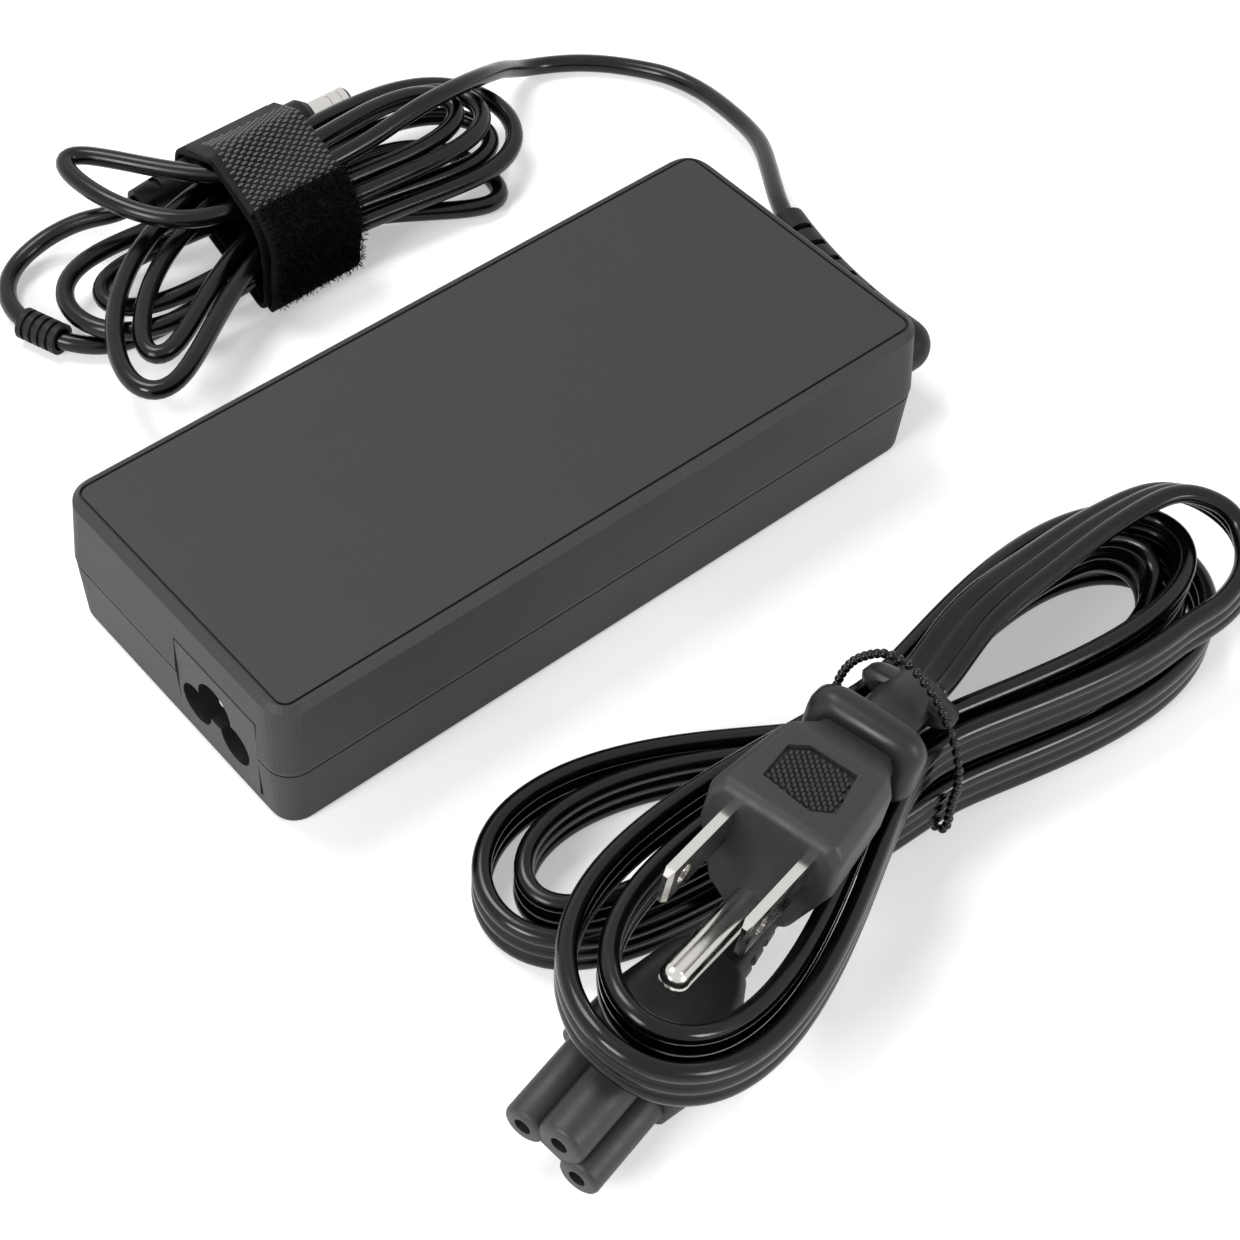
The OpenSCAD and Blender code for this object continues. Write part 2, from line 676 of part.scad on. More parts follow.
// Moulded right-angle strain relief: round elbow, inner flange and a slotted boot that bends with the cord
module dc_strain_relief() {
    flange_x = half_l - wall - 3;
    color("#1d1d1e")
    difference() {
        union() {
            along_x(flange_x, elbow_y, elbow_z, elbow_x - flange_x, elbow_radius);
            along_x(flange_x - 0.4, elbow_y, elbow_z, 2, elbow_radius + 1.6);
            translate([elbow_x, elbow_y, elbow_z]) sphere(r = elbow_radius);
            skin([for (k = [0:12]) path_ring(boot_at(k / 12), boot_dir(k / 12), circle_outline(boot_r(k / 12), 20))]);
        }
        for (k = [0:boot_slots - 1])
            let (t = 0.24 + 0.68 * k / (boot_slots - 1), d = boot_dir(t), r = boot_r(t))
            translate(boot_at(t)) rotate([0, 0, atan2(d.y, d.x)])
                for (side = [-1, 1])
                    if (k % 2 == 0) translate([-0.7, side * (r - 0.2) - 1.3, -r * 0.5]) cube([1.4, 2.6, r]);
                    else translate([-0.7, -r * 0.5, side * (r - 0.2) - 1.3]) cube([1.4, r, 2.6]);
    }
}

module dc_cord() {
    path = concat(spline(cord_route, 2), [hank_path[0] - 8 * hank_in * 0.5, hank_path[0]]);
    color("#171718") tube(path, circle_outline(cord_d / 2, 8), boot_dir(1), hank_in);
}

module dc_cord_hank() {
    color("#171718") tube(hank_path, circle_outline(cord_d / 2, 6), hank_in, hank_out);
}

plug_cord_end = [boot_x0, plug_y, plug_z];
module dc_cord_tail() {
    last = hank_path[len(hank_path) - 1];
    path = concat([last], spline(tail_route, 2), [plug_cord_end]);
    color("#171718") tube(path, circle_outline(cord_d / 2, 8), hank_out, [1, 0, 0]);
}

// Ribbed sleeve moulded round the cord
module cord_sleeve() {
    p0 = tail_route[sleeve_from];
    d = unit(tail_route[sleeve_from + 1] - p0);
    color("#141415")
    translate([p0.x, p0.y, cord_d / 2 + 1.3])
        rotate([0, 90, atan2(d.y, d.x)])
            difference() {
                for (k = [0:4]) translate([0, 0, 1.8 * k]) {
                    cylinder(h = 1.1, r = cord_d / 2 + 1.2);
                    cylinder(h = k < 4 ? 1.8 : 1.1, r = cord_d / 2 + 0.7);
                }
                translate([0, 0, -1]) cylinder(h = 12, r = cord_d / 2 + 0.4);
            }
}

// Boot of the plug: tapered, with rows of slots
module dc_plug_boot() {
    l = handle_x0 - boot_x0;
    color("#1d1d1e")
    difference() {
        along_x(boot_x0, plug_y, plug_z, l, cord_d / 2 + 0.9, handle_radius - 0.5);
        for (k = [0:3], side = [-1, 1])
            let (x = boot_x0 + 1.6 + 2.3 * k, r = cord_d / 2 + 0.9 + (handle_radius - cord_d / 2 - 1.4) * (1.6 + 2.3 * k) / l)
            if (k % 2 == 0) translate([x, plug_y + side * r - 0.9, plug_z - r / 2]) cube([1.2, 1.8, r]);
            else translate([x, plug_y - r / 2, plug_z + side * r - 0.9]) cube([1.2, r, 1.8]);
    }
}

module dc_plug_handle() {
    color("#1d1d1e")
    difference() {
        translate([handle_x0, plug_y, plug_z]) rotate([0, 90, 0])
            rotate_extrude()
                polygon([
                    [0, 0], [handle_radius - 0.5, 0], [handle_radius, 1], [handle_radius, barrel_x0 - handle_x0 - 1.5],
                    [handle_radius - 1, barrel_x0 - handle_x0], [0, barrel_x0 - handle_x0]
                ]);
        for (k = [0:5])
            translate([handle_x0 + 3 + 2 * k, plug_y, plug_z]) rotate([0, 90, 0])
                difference() {
                    cylinder(h = 0.8, r = handle_radius + 1);
                    translate([0, 0, -1]) cylinder(h = 3, r = handle_radius - 0.4);
                }
    }
}

module dc_plug_barrel() {
    l = barrel_x1 - barrel_x0 - 1;
    color("#d2d2d0")
    translate([barrel_x0, plug_y, plug_z]) rotate([0, 90, 0])
        rotate_extrude()
            polygon([
                [barrel_radius - 0.4, 0], [barrel_radius, 0], [barrel_radius, l - 4.4], [barrel_radius - 0.25, l - 4.3],
                [barrel_radius - 0.25, l - 3.7], [barrel_radius, l - 3.6], [barrel_radius, l - 2.1],
                [barrel_radius - 0.25, l - 2], [barrel_radius - 0.25, l - 1.4], [barrel_radius, l - 1.3],
                [barrel_radius, l], [barrel_radius - 0.4, l]
            ]);
}

module dc_plug_insulator() {
    l = barrel_x1 - barrel_x0;
    color("#111112")
    translate([barrel_x0, plug_y, plug_z]) rotate([0, 90, 0])
        rotate_extrude()
            polygon([
                [socket_radius + 0.3, 0], [barrel_radius - 0.4, 0], [barrel_radius - 0.4, l - 1], [barrel_radius - 0.1, l - 1],
                [barrel_radius - 0.5, l - 0.3], [socket_radius + 0.3, l - 0.3]
            ]);
}

module dc_plug_contact() {
    color("#d2d2d0")
    difference() {
        along_x(barrel_x0, plug_y, plug_z, barrel_x1 - barrel_x0, socket_radius + 0.3);
        along_x(barrel_x1 - 8, plug_y, plug_z, 9, socket_radius);
    }
}

// ---------- strap ----------

module strap_section(grow) {
    hull() for (c = strap_corners) translate([c.x, c.y]) circle(r = c.z + grow, $fn = 32);
}

// Band between two offsets of the strap's section; its underside is flat on the ground
module strap_band(x0, inner, outer) {
    multmatrix([[1, strap_skew, 0, x0 - strap_skew * plug_y], [0, 1, 0, 0], [0, 0, 1, 0], [0, 0, 0, 1]])
        intersection() {
            rotate([90, 0, 90]) linear_extrude(strap_width)
                difference() {
                    strap_section(outer);
                    strap_section(inner);
                }
            translate([-1, strap_room_y, 0]) cube(strap_room);
        }
}

module strap_loop() {
    color("#1a1a1b") {
        strap_band(strap_x0, 0, strap_thick);
        intersection() {
            strap_band(strap_x0 + 1, strap_thick - eps, 2 * strap_thick);
            translate([-strap_room.x, strap_room_y, overlap_foot])
                cube([3 * strap_room.x, tab_from - strap_room_y, strap_room.z]);
        }
    }
}

module strap_tab() {
    color("#2c2c2e")
    intersection() {
        strap_band(strap_x0 + 0.4, strap_thick, 2 * strap_thick);
        translate([-strap_room.x, tab_from + tab_gap, plug_z + tab_foot]) cube([3 * strap_room.x, strap_room.y, strap_room.z]);
    }
}

// ---------- mains lead ----------

module place_wall_plug() {
    translate(wall_plug_at) rotate(wall_plug_turn) children();
}

function in_wall_plug(p) =
    let (
        a = wall_plug_turn.x, b = wall_plug_turn.y, g = wall_plug_turn.z,
        u = [p.x, p.y * cos(a) - p.z * sin(a), p.y * sin(a) + p.z * cos(a)],
        v = [u.x * cos(b) + u.z * sin(b), u.y, -u.x * sin(b) + u.z * cos(b)]
    )
    wall_plug_at + [v.x * cos(g) - v.y * sin(g), v.x * sin(g) + v.y * cos(g), v.z];

function in_connector(p) =
    let (
        b = connector_turn.y, g = connector_turn.z,
        v = [p.x * cos(b) + p.z * sin(b), p.y, -p.x * sin(b) + p.z * cos(b)]
    )
    connector_at + [v.x * cos(g) - v.y * sin(g), v.x * sin(g) + v.y * cos(g), v.z];

// Outline of the wall plug across its axis: flat top, full sides, drawn in to the earth pin
function plug_ring(y, half, top, bottom, foot) = [
    [-half * 0.82, y, top], [-half, y, top - 2.2], [-half, y, -2.5], [-foot - 1.5, y, bottom + 3.2], [-foot * 0.6, y, bottom + 0.6],
    [0, y, bottom], [foot * 0.6, y, bottom + 0.6], [foot + 1.5, y, bottom + 3.2], [half, y, -2.5], [half, y, top - 2.2],
    [half * 0.82, y, top], [0, y, top]
];

// Sunk field of the grip on the flat top
grip_floor = 6.1;
grip_outline = [[5.4, -5], [5.8, -12.2], [3.3, -14.3], [-4.5, -14.2], [-6, -6], [-2.8, -3.9]];
module wall_plug_body() {
    color("#39393b")
    place_wall_plug()
        difference() {
            skin([
                plug_ring(0, 10.2, 5.4, -15.4, 5), plug_ring(-1.2, 10.9, 6.6, -15.6, 5.2), plug_ring(-16.5, 9.4, 6.9, -10, 4),
                plug_ring(-22, 6.6, 4.6, -6.6, 4), plug_ring(-23.4, 6.4, 4.4, -6, 4), plug_ring(-24, 9.6, 7.6, -5.8, 5),
                plug_ring(-27.4, 9.6, 7.6, -5.6, 5), plug_ring(-28.4, 8.6, 6.6, -5.2, 4.6)
            ]);
            translate([0, 0, grip_floor]) linear_extrude(4) polygon(grip_outline);
        }
}

// Neck with a collar and two wings that keep the cord from bending at the plug
module wall_plug_strain_relief() {
    color("#2a2a2c")
    place_wall_plug() {
        skin([
            for (k = [[-28.4, 5.2, 3.9], [-33, 4.6, 3.6], [-37, 4.4, 3.4], [-43, 4.6, 2.4]])
                [for (q = circle_outline(1, 16)) [q.x * k[1], k[0], q.y * k[2]]]
        ]);
        skin([
            for (k = [[-38, 6.4, 2.2], [-39.4, 7.6, 2.4], [-42.6, 7.2, 1.8]])
                [for (q = circle_outline(1, 16)) [q.x * k[1], k[0], q.y * k[2]]]
        ]);
    }
}

blade_chamfer = 1.2;
blade_hole_at = 11.9;
module blade(side) {
    color("#d0d0ce")
    place_wall_plug()
        translate([side * blade_pitch / 2, 0, 0])
            difference() {
                skin([
                    for (k = [[0, 1, 1], [-blade_chamfer, 1, 1], [0, 0.5, 0.8]])
                        let (y = k[0] < 0 ? blade_l + k[0] : k[1] < 1 ? blade_l : 0, t = blade_t / 2 * k[1], w = blade_w / 2 * k[2])
                        [[t, y, w], [t, y, -w], [-t, y, -w], [-t, y, w]]
                ]);
                translate([-blade_t, blade_hole_at, 0]) rotate([0, 90, 0]) cylinder(h = 2 * blade_t, r = blade_hole_d / 2);
            }
}

module live_blade() blade(-1);
module neutral_blade() blade(1);

module earth_pin() {
    color("#c6c6c4")
    place_wall_plug()
        translate([0, 0, -earth_drop]) rotate([-90, 0, 0]) {
            cylinder(h = earth_l - earth_d / 2, r = earth_d / 2);
            translate([0, 0, earth_l - earth_d / 2]) sphere(r = earth_d / 2);
        }
}

nose_length = 15.5;
hole_depth = 10.5;
hole_radius = pin_radius + 0.15;
contact_length = 1.5;
contact_radius = hole_radius + 0.3;
contact_holes = [[-pin_pitch / 2, 0], [pin_pitch / 2, 0], [0, earth_rise]];
module nose_axis(x, z, y, h, r) {
    translate([x, y, z]) rotate([-90, 0, 0]) cylinder(h = h, r = r);
}

// Connector: three-lobed nose with contact holes, and a body that tapers back to the cord
module connector_body() {
    color("#37373a")
    translate(connector_at) rotate(connector_turn)
        difference() {
            union() {
                for (side = [-1, 1]) nose_axis(side * pin_pitch / 2, 0, -nose_length, nose_length, lobe_radius - 0.45);
                nose_axis(0, earth_rise, -nose_length, nose_length, earth_lobe_radius - 0.45);
                translate([-pin_pitch / 4, -nose_length, 0]) cube([pin_pitch / 2, nose_length, 3]);
                skin([
                    for (k = [[-38, 5.2, 4.4, 0.4], [-34, 7, 5.4, 0.6], [-24, 9, 6.3, 1.2], [-nose_length, 9.4, 6.6, 1.6]])
                        [for (q = rounded_ring(2 * k[1], 2 * k[2], 2.6, 0)) [q.x, k[0], q.y * -1 + k[3]]]
                ]);
            }
            for (c = contact_holes) {
                nose_axis(c.x, c.y, -hole_depth, hole_depth + 1, hole_radius);
                nose_axis(c.x, c.y, -hole_depth - contact_length, contact_length, contact_radius);
            }
        }
}

// Contacts at the bottom of the contact holes
module connector_contacts() {
    color("#b8933c")
    translate(connector_at) rotate(connector_turn)
        for (c = contact_holes) nose_axis(c.x, c.y, -hole_depth - contact_length, contact_length, contact_radius);
}

module connector_strain_relief() {
    color("#2a2a2c")
    translate(connector_at) rotate(connector_turn)
        difference() {
            skin([
                for (k = [[-52, 3.2, 2.2], [-44, 4.4, 3.2], [-38, 5, 4]])
                    [for (q = circle_outline(1, 16)) [q.x * k[1], k[0], -q.y * k[2] + 0.4]]
            ]);
            for (k = [0:2], side = [-1, 1])
                translate([side * 5.4 - 1.9, -49.6 + 3.6 * k, -3]) cube([3.8, 1.4, 7]);
        }
}

module mains_cord_start() {
    from = in_wall_plug([0, -43, 0]);
    heading = unit(from - in_wall_plug([0, -42, 0]));
    path = concat([from, from + 4 * heading], spline(start_route, 1), [mains_path[0]]);
    d = headings(path, heading, mains_in);
    n = len(path) - 1;
    color("#1b1b1c")
    skin([for (i = [0:n]) path_ring(path[i], d[i], flat_outline, 90 * clamp01(1.2 - 1.3 * i / n))]);
}

module mains_cord_hank() {
    color("#1b1b1c") tube(mains_path, flat_outline, mains_in, mains_out);
}

module mains_cord_end() {
    tip = in_connector([0, -52, 0.4]);
    heading = unit(in_connector([0, -51, 0.4]) - tip);
    path = concat([mains_path[len(mains_path) - 1]], end_route, [tip - 3 * heading, tip]);
    d = headings(path, mains_out, heading);
    n = len(path) - 1;
    color("#1b1b1c")
    skin([for (i = [0:n]) path_ring(path[i], d[i], flat_outline, 60 * pow(i / n, 2))]);
}

// Ball chain drawn tight round the hank's waist and the neck that lies on it
tie_x = 11;
tie_floor = bead_d / 2 + 0.15;
tie_section = [
    [-78.6, 29.4], [-74, 27.6], [-69.2, 21.6], [-66.8, 15], [-66.3, 8], [-66.6, 2.6], [-70, tie_floor], [-76, tie_floor],
    [-82, tie_floor], [-88, tie_floor], [-91.3, 2.6], [-91.5, 9], [-91.6, 15], [-89.8, 21], [-85, 27], [-80.4, 29.2]
];
module bead_tie() {
    loop = spline([for (p = tie_section) [tie_x, p.x, p.y]], 6);
    run = travelled(loop);
    pitch = run[len(run) - 1] / bead_count;
    path = [for (k = [0:2 * bead_count]) at_distance(loop, run, k * pitch / 2)];
    d = headings(path, undef, undef);
    color("#101011")
    skin([for (k = [0:2 * bead_count]) path_ring(path[k], d[k], circle_outline(k % 2 == 1 ? bead_d / 2 : bead_d / 4, 6))]);
}

// ---------- assembly ----------

upper_housing();
lower_housing();
inlet_housing();
inlet_live_pin();
inlet_neutral_pin();
inlet_earth_pin();
circuit_board();
insulation_sheet();
heat_spreader();
input_fuse();
x_capacitor();
common_mode_choke();
bridge_rectifier();
bulk_capacitor();
transformer_core();
transformer_winding();
transistor_heat_sink();
output_capacitors();
optocoupler();
dc_output_wires();
dc_strain_relief();
dc_cord();
dc_cord_hank();
dc_cord_tail();
cord_sleeve();
dc_plug_boot();
dc_plug_handle();
dc_plug_barrel();
dc_plug_insulator();
dc_plug_contact();
strap_loop();
strap_tab();
mains_cord_start();
mains_cord_hank();
mains_cord_end();
wall_plug_body();
wall_plug_strain_relief();
live_blade();
neutral_blade();
earth_pin();
connector_body();
connector_contacts();
connector_strain_relief();
bead_tie();
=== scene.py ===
"""Laptop power adapter: a housing, its output cord in a strapped hank and its mains lead in a tied hank."""
import math

import bmesh
import bpy
from bpy.props import EnumProperty, FloatProperty, FloatVectorProperty, IntProperty, PointerProperty
from mathutils import Euler, Matrix, Vector


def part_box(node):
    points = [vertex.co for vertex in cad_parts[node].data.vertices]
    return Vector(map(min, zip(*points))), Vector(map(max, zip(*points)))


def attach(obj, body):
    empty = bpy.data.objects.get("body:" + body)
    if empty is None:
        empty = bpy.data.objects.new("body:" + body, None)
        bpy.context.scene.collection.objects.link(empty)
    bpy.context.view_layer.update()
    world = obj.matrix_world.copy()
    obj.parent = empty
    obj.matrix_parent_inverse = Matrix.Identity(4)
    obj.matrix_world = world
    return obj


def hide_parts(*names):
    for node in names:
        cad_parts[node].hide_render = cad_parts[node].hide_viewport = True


bl_info = {
    "name": "Laptop power adapter",
    "version": (1, 0, 0),
    "blender": (4, 5, 0),
    "location": "View3D > Sidebar > Adapter",
    "description": "Dresses a laptop power adapter, its two cords, its strap and its tie",
    "category": "Object",
}

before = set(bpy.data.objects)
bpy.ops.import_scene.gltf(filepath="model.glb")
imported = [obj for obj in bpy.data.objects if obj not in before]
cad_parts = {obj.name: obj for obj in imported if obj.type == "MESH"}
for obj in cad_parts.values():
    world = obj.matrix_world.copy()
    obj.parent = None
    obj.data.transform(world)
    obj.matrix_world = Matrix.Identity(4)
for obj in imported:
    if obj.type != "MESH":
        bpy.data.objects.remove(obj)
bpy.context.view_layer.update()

MM = 0.001
ADAPTER = "adapter"
MAINS = "mains_lead"

# Length of the housing, in millimetres
HOUSING_LOW, HOUSING_HIGH = (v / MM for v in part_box("lower_housing"))
BODY_LENGTH = HOUSING_HIGH.x - HOUSING_LOW.x

# Output cord: its boot, its routes to the hank and from the hank to the plug, and the hank's turns
ELBOW = Vector((71.3, -20.1, 12.9))
BOOT_BEND = Vector((71.5, -2.0, 12.9))
BOOT_TIP = Vector((77.8, 15.2, 12.9))
BOOT_WIDE, BOOT_NARROW = 4.8, 3.2
CORD_ROUTE = [
    BOOT_TIP, (81, 21, 12.2), (87.5, 30, 10), (92.5, 37, 8), (96, 43.8, 6), (98.6, 53.5, 4),
    (99.8, 61.8, 2.5), (98.6, 69.2, 2), (95.6, 74.7, 1.8), (91.3, 80.2, 1.8), (86, 84.8, 1.8),
    (81, 87.4, 2), (77.5, 88, 2.8), (73.6, 87, 5), (68.7, 84.6, 8.8), (63.5, 81.8, 12.2),
    (59, 79.8, 14.6), (54.6, 78.4, 16.3), (50.4, 77.4, 17.4), (46.9, 76.9, 17.9), (42, 76.5, 18.1),
    (37, 76.1, 17.8), (31, 75.8, 17.1), (25, 75.8, 16.6), (20, 76, 16.3),
]
TAIL_ROUTE = [
    (5, 75.4, 3.2), (-1.5, 74.9, 3.15), (-8, 73.8, 2.1), (-14, 73, 1.8), (-23, 73, 1.8), (-30.5, 75, 2.2),
    (-35.7, 80, 2.8), (-38.2, 87, 3), (-37.6, 95, 2.6), (-32.8, 101.3, 2.6), (-25, 103, 4.2),
    (-18, 100.5, 6.8), (-12.5, 96.7, 8.3),
]
PLUG_Y, PLUG_Z = 96.2, 8.8
PLUG_CORD_END = Vector((-8.5, PLUG_Y, PLUG_Z))
HANK_CENTRE = (12.0, 79.0)
HANK_TURNS = (0.25, 5.25)
LAYER_STEP, TURN_STEP, WAIST_LIFT, WAIST_HALF = 4.35, 4.5, 1.5, 3.2
LAYER_ENDS, LAYER_CHANGE = (1, 2.96, 4.88), 0.3
LEFT_REACH, LEFT_BEND, LEFT_BULGE = (30, 38.5, 35, 35), (22, -16.5, 2, 2), (23, 4, 4.5, 4.5)

# Mains lead
FLAT_H, FLAT_T = 8.6, 3.0
MAINS_CENTRE = (10.0, -78.5)
MAINS_TURNS = (1.12, 5.28)
MAINS_MID, MAINS_CHANGE = 3.0, 0.16
FLAT_STEP = FLAT_H + 0.62
TIE_LIFT = 1.9
START_ROUTE = [
    (31, -74.8, 23.2), (46, -73.8, 22.8), (60, -73.8, 22.8), (72, -75.6, 22.5), (78, -80.5, 20.2),
    (79.5, -86, 17.2), (75, -91.5, 15.2), (67.5, -93.8, 14.5),
]
END_ROUTE = [(-9, -87, 5.4)]
WALL_PLUG_AT, WALL_PLUG_TURN = (-27.1, -89.1, 29.5), (9.4, -2.8, 103.3)
CONNECTOR_AT, CONNECTOR_TURN = (-72.0, -97.8, 7.8), (0.0, -21.0, 102.7)

# Paths: passes that ease a cord's corners, and sides of the round cord
EASING = 5
CORD_SIDES = 14

# Strap: [y, z, radius] of the rounded corners of its inner face
STRAP_CORNERS = [
    (68.7, 4.7, 3.5), (69.8, 14.4, 4.6), (83.8, 17, 3.4), (PLUG_Y, PLUG_Z, 4.5), (PLUG_Y + 1, 5.6, 4.4)]
# Its edges along X, how askew it runs, its gap to the floor, and the place of its tab's edge in Y
STRAP_X = (2.96, 23.56)
STRAP_SKEW = 0.17
STRAP_FLOOR = 0.05
TAB_FROM = 76.0
# The share of a turn that overlaps, and the length of the hook tab
OVERLAP = 0.46
TAB_LENGTH = 29.0

# Bead tie: [y, z] of its loop in the plane x = TIE_X
TIE_X = 11.0
TIE_FLOOR = 0.9
TIE_LOOP = [
    (-78.6, 29.4), (-74, 27.6), (-69.2, 21.6), (-66.8, 15), (-66.3, 8), (-66.6, 2.6),
    (-70, TIE_FLOOR), (-76, TIE_FLOOR), (-82, TIE_FLOOR), (-88, TIE_FLOOR), (-91.3, 2.6),
    (-91.5, 9), (-91.6, 15), (-89.8, 21), (-85, 27), (-80.4, 29.2),
]


# ---------- settings ----------

def hex_rgb(text):
    """An sRGB hex colour as linear red, green and blue."""
    def linear(c):
        return c / 12.92 if c <= 0.04045 else ((c + 0.055) / 1.055) ** 2.4
    return tuple(linear(int(text[i:i + 2], 16) / 255) for i in (1, 3, 5))


def millimetres(name, description, default):
    """A size in millimetres that can be set."""
    return FloatProperty(name=name, description=description, default=default, min=0.01, soft_max=10 * default)


def colour(name, description, default):
    """A colour that can be set."""
    return FloatVectorProperty(
        name=name, description=description, default=hex_rgb(default), size=3, min=0, max=1, subtype="COLOR")


class CordSizes(bpy.types.PropertyGroup):
    """Sizes of the two cords, in millimetres."""
    output_diameter: millimetres("Output cord diameter", "Jacket of the output cord", 3.4)
    ring_step: millimetres("Ring step", "Distance between the rings of a swept cord", 1.2)
    groove: millimetres("Groove depth", "Depth of the grooves between the cores of the flat mains cord", 0.65)


class TrimSizes(bpy.types.PropertyGroup):
    """Sizes of the strap, the tie and the grip, in millimetres."""
    strap_thickness: millimetres("Strap layer", "Thickness of one layer of the hook-and-loop strap", 1.05)
    hook_pitch: millimetres("Hook pitch", "Distance between the hooks of a row on the tab", 1.95)
    pile_length: millimetres("Pile length", "Length of the strap's loop pile", 1.1)
    pile_density: FloatProperty(
        name="Pile density", description="Pile fibres per square millimetre", default=7.0, min=0.1, max=20)
    bead: millimetres("Bead diameter", "Diameter of the tie's beads", 1.5)
    beads: IntProperty(name="Beads", description="Number of beads round the hank", default=54, min=20, max=90)
    grip_pitch: millimetres("Grip pitch", "Distance between the studs of the wall plug's grip", 1.2)


class Finishes(bpy.types.PropertyGroup):
    """Colours of the finishes."""
    housing: colour("Housing", "Spark-eroded ABS of the shells", "#323233")
    jacket: colour("Cord jacket", "PVC jacket of both cords", "#030304")
    boot: colour("Boot", "Soft PVC of the strain reliefs", "#151516")
    vinyl: colour("Plug vinyl", "Moulded vinyl of the wall plug and the connector", "#2B2B2D")
    hook_tape: colour("Hook tape", "Nylon weave of the strap's tab", "#101011")
    pile: colour("Loop pile", "Brushed nylon of the strap", "#040405")
    nickel: colour("Nickel", "Nickel plate on pins, blades and barrel", "#D2D0CB")


class Stage(bpy.types.PropertyGroup):
    """Camera and light."""
    lens: FloatProperty(
        name="Lens", description="Focal length", default=73.06, min=10, max=200, unit="CAMERA")
    shift: FloatProperty(
        name="Shift", description="Sideways shift of the picture", default=0.1383, min=-1, max=1)
    light: FloatProperty(name="Light", description="Strength of the key light", default=1.0, min=0, max=10)
    backdrop: EnumProperty(
        name="Backdrop", description="Colour of the floor", default="PALE",
        items=[("PALE", "Pale", "Almost white"), ("GREY", "Grey", "Light grey")])


# ---------- geometry helpers ----------

def clamp01(t):
    """A number kept between 0 and 1."""
    return min(1.0, max(0.0, t))


def spline(points, cuts):
    """Catmull-Rom points through a route, with cuts between each two."""
    p = [Vector(v) for v in points]
    out = []
    for i in range(len(p) - 1):
        a, b, c, d = p[max(i - 1, 0)], p[i], p[i + 1], p[min(i + 2, len(p) - 1)]
        for k in range(cuts):
            t = k / cuts
            out.append(0.5 * (2 * b + (c - a) * t + (2 * a - 5 * b + 4 * c - d) * t * t
                              + (3 * b - a - 3 * c + d) * t ** 3))
    out.append(p[-1])
    return out


def run_length(points):
    """Distance travelled along a path at each of its points."""
    run = [0.0]
    for a, b in zip(points, points[1:]):
        run.append(run[-1] + (b - a).length)
    return run


def stretch_at(run, s):
    """The stretch of a path that a distance falls in, and how far along it the distance is."""
    i = 0
    while i < len(run) - 2 and run[i + 1] < s:
        i += 1
    return i, clamp01((s - run[i]) / max(run[i + 1] - run[i], 1e-9))


def at_distance(points, run, s):
    """The point at a distance along a path."""
    i, t = stretch_at(run, s)
    return points[i].lerp(points[i + 1], t)


def even(points, step):
    """The path resampled at an even step, ends kept."""
    run = run_length(points)
    count = max(1, round(run[-1] / step))
    return [at_distance(points, run, run[-1] * k / count) for k in range(count + 1)]


def eased(points, passes):
    """The path with its corners eased, ends kept."""
    path = list(points)
    for _ in range(passes):
        path = [path[0]] + [
            path[i] * 0.5 + (path[i - 1] + path[i + 1]) * 0.25 for i in range(1, len(path) - 1)] + [path[-1]]
    return path


def headings(points, first=None, last=None):
    """The direction of a path at each of its points; those of the ends can be given."""
    end = len(points) - 1
    d = [(points[min(i + 1, end)] - points[max(i - 1, 0)]).normalized() for i in range(end + 1)]
    if first is not None:
        d[0] = first.normalized()
    if last is not None:
        d[-1] = last.normalized()
    return d


def across(way):
    """The level direction across a way, and the one that stands up from both."""
    side = Vector((0, 0, 1)).cross(way).normalized()
    return side, way.cross(side)


def new_object(name, data):
    """An object linked to the scene."""
    made = bpy.data.objects.new(name, data)
    bpy.context.scene.collection.objects.link(made)
    return made


def new_mesh(name, points, edges=(), faces=()):
    """A mesh from points in millimetres; its place is in its points."""
    mesh = bpy.data.meshes.new(name)
    mesh.from_pydata([tuple(Vector(p) * MM) for p in points], edges, faces)
    return mesh


def new_piece(name, vertices, faces, smooth=True, uv=None):
    """A piece from points in millimetres."""
    mesh = new_mesh(name, vertices, faces=faces)
    if uv is not None:
        layer = mesh.uv_layers.new(name="surface")
        for loop in mesh.loops:
            layer.data[loop.index].uv = uv[loop.vertex_index]
    mesh.validate()
    for polygon in mesh.polygons:
        polygon.use_smooth = smooth
    return new_object(name, mesh)


def loft(name, rings, smooth=True, uv=None):
    """A closed skin over a stack of rings that run anticlockwise about the way they are stacked."""
    n = len(rings[0])
    faces = [tuple(reversed(range(n)))]
    for i in range(len(rings) - 1):
        for j in range(n):
            k = (j + 1) % n
            faces.append((i * n + j, i * n + k, (i + 1) * n + k, (i + 1) * n + j))
    last = (len(rings) - 1) * n
    faces.append(tuple(last + j for j in range(n)))
    return new_piece(name, [p for ring in rings for p in ring], faces, smooth, uv)


def sweep(name, path, outline, first=None, last=None, lean=None):
    """A tube: outline x lies level across the path and outline y stands up; lean tips each ring."""
    rings = []
    ways = headings(path, first, last)
    for i, (p, d) in enumerate(zip(path, ways)):
        side, up = across(d)
        a = math.radians(lean[i]) if lean else 0.0
        rings.append([
            p + side * (x * math.cos(a) - y * math.sin(a)) + up * (x * math.sin(a) + y * math.cos(a))
            for x, y in outline])
    run = run_length(path)
    uv = [(run[i], j / len(outline)) for i in range(len(path)) for j in range(len(outline))]
    return loft(name, rings, uv=uv)


def circle(radius, sides):
    """A round outline."""
    turns = [math.tau * j / sides for j in range(sides)]
    return [(radius * math.cos(a), radius * math.sin(a)) for a in turns]


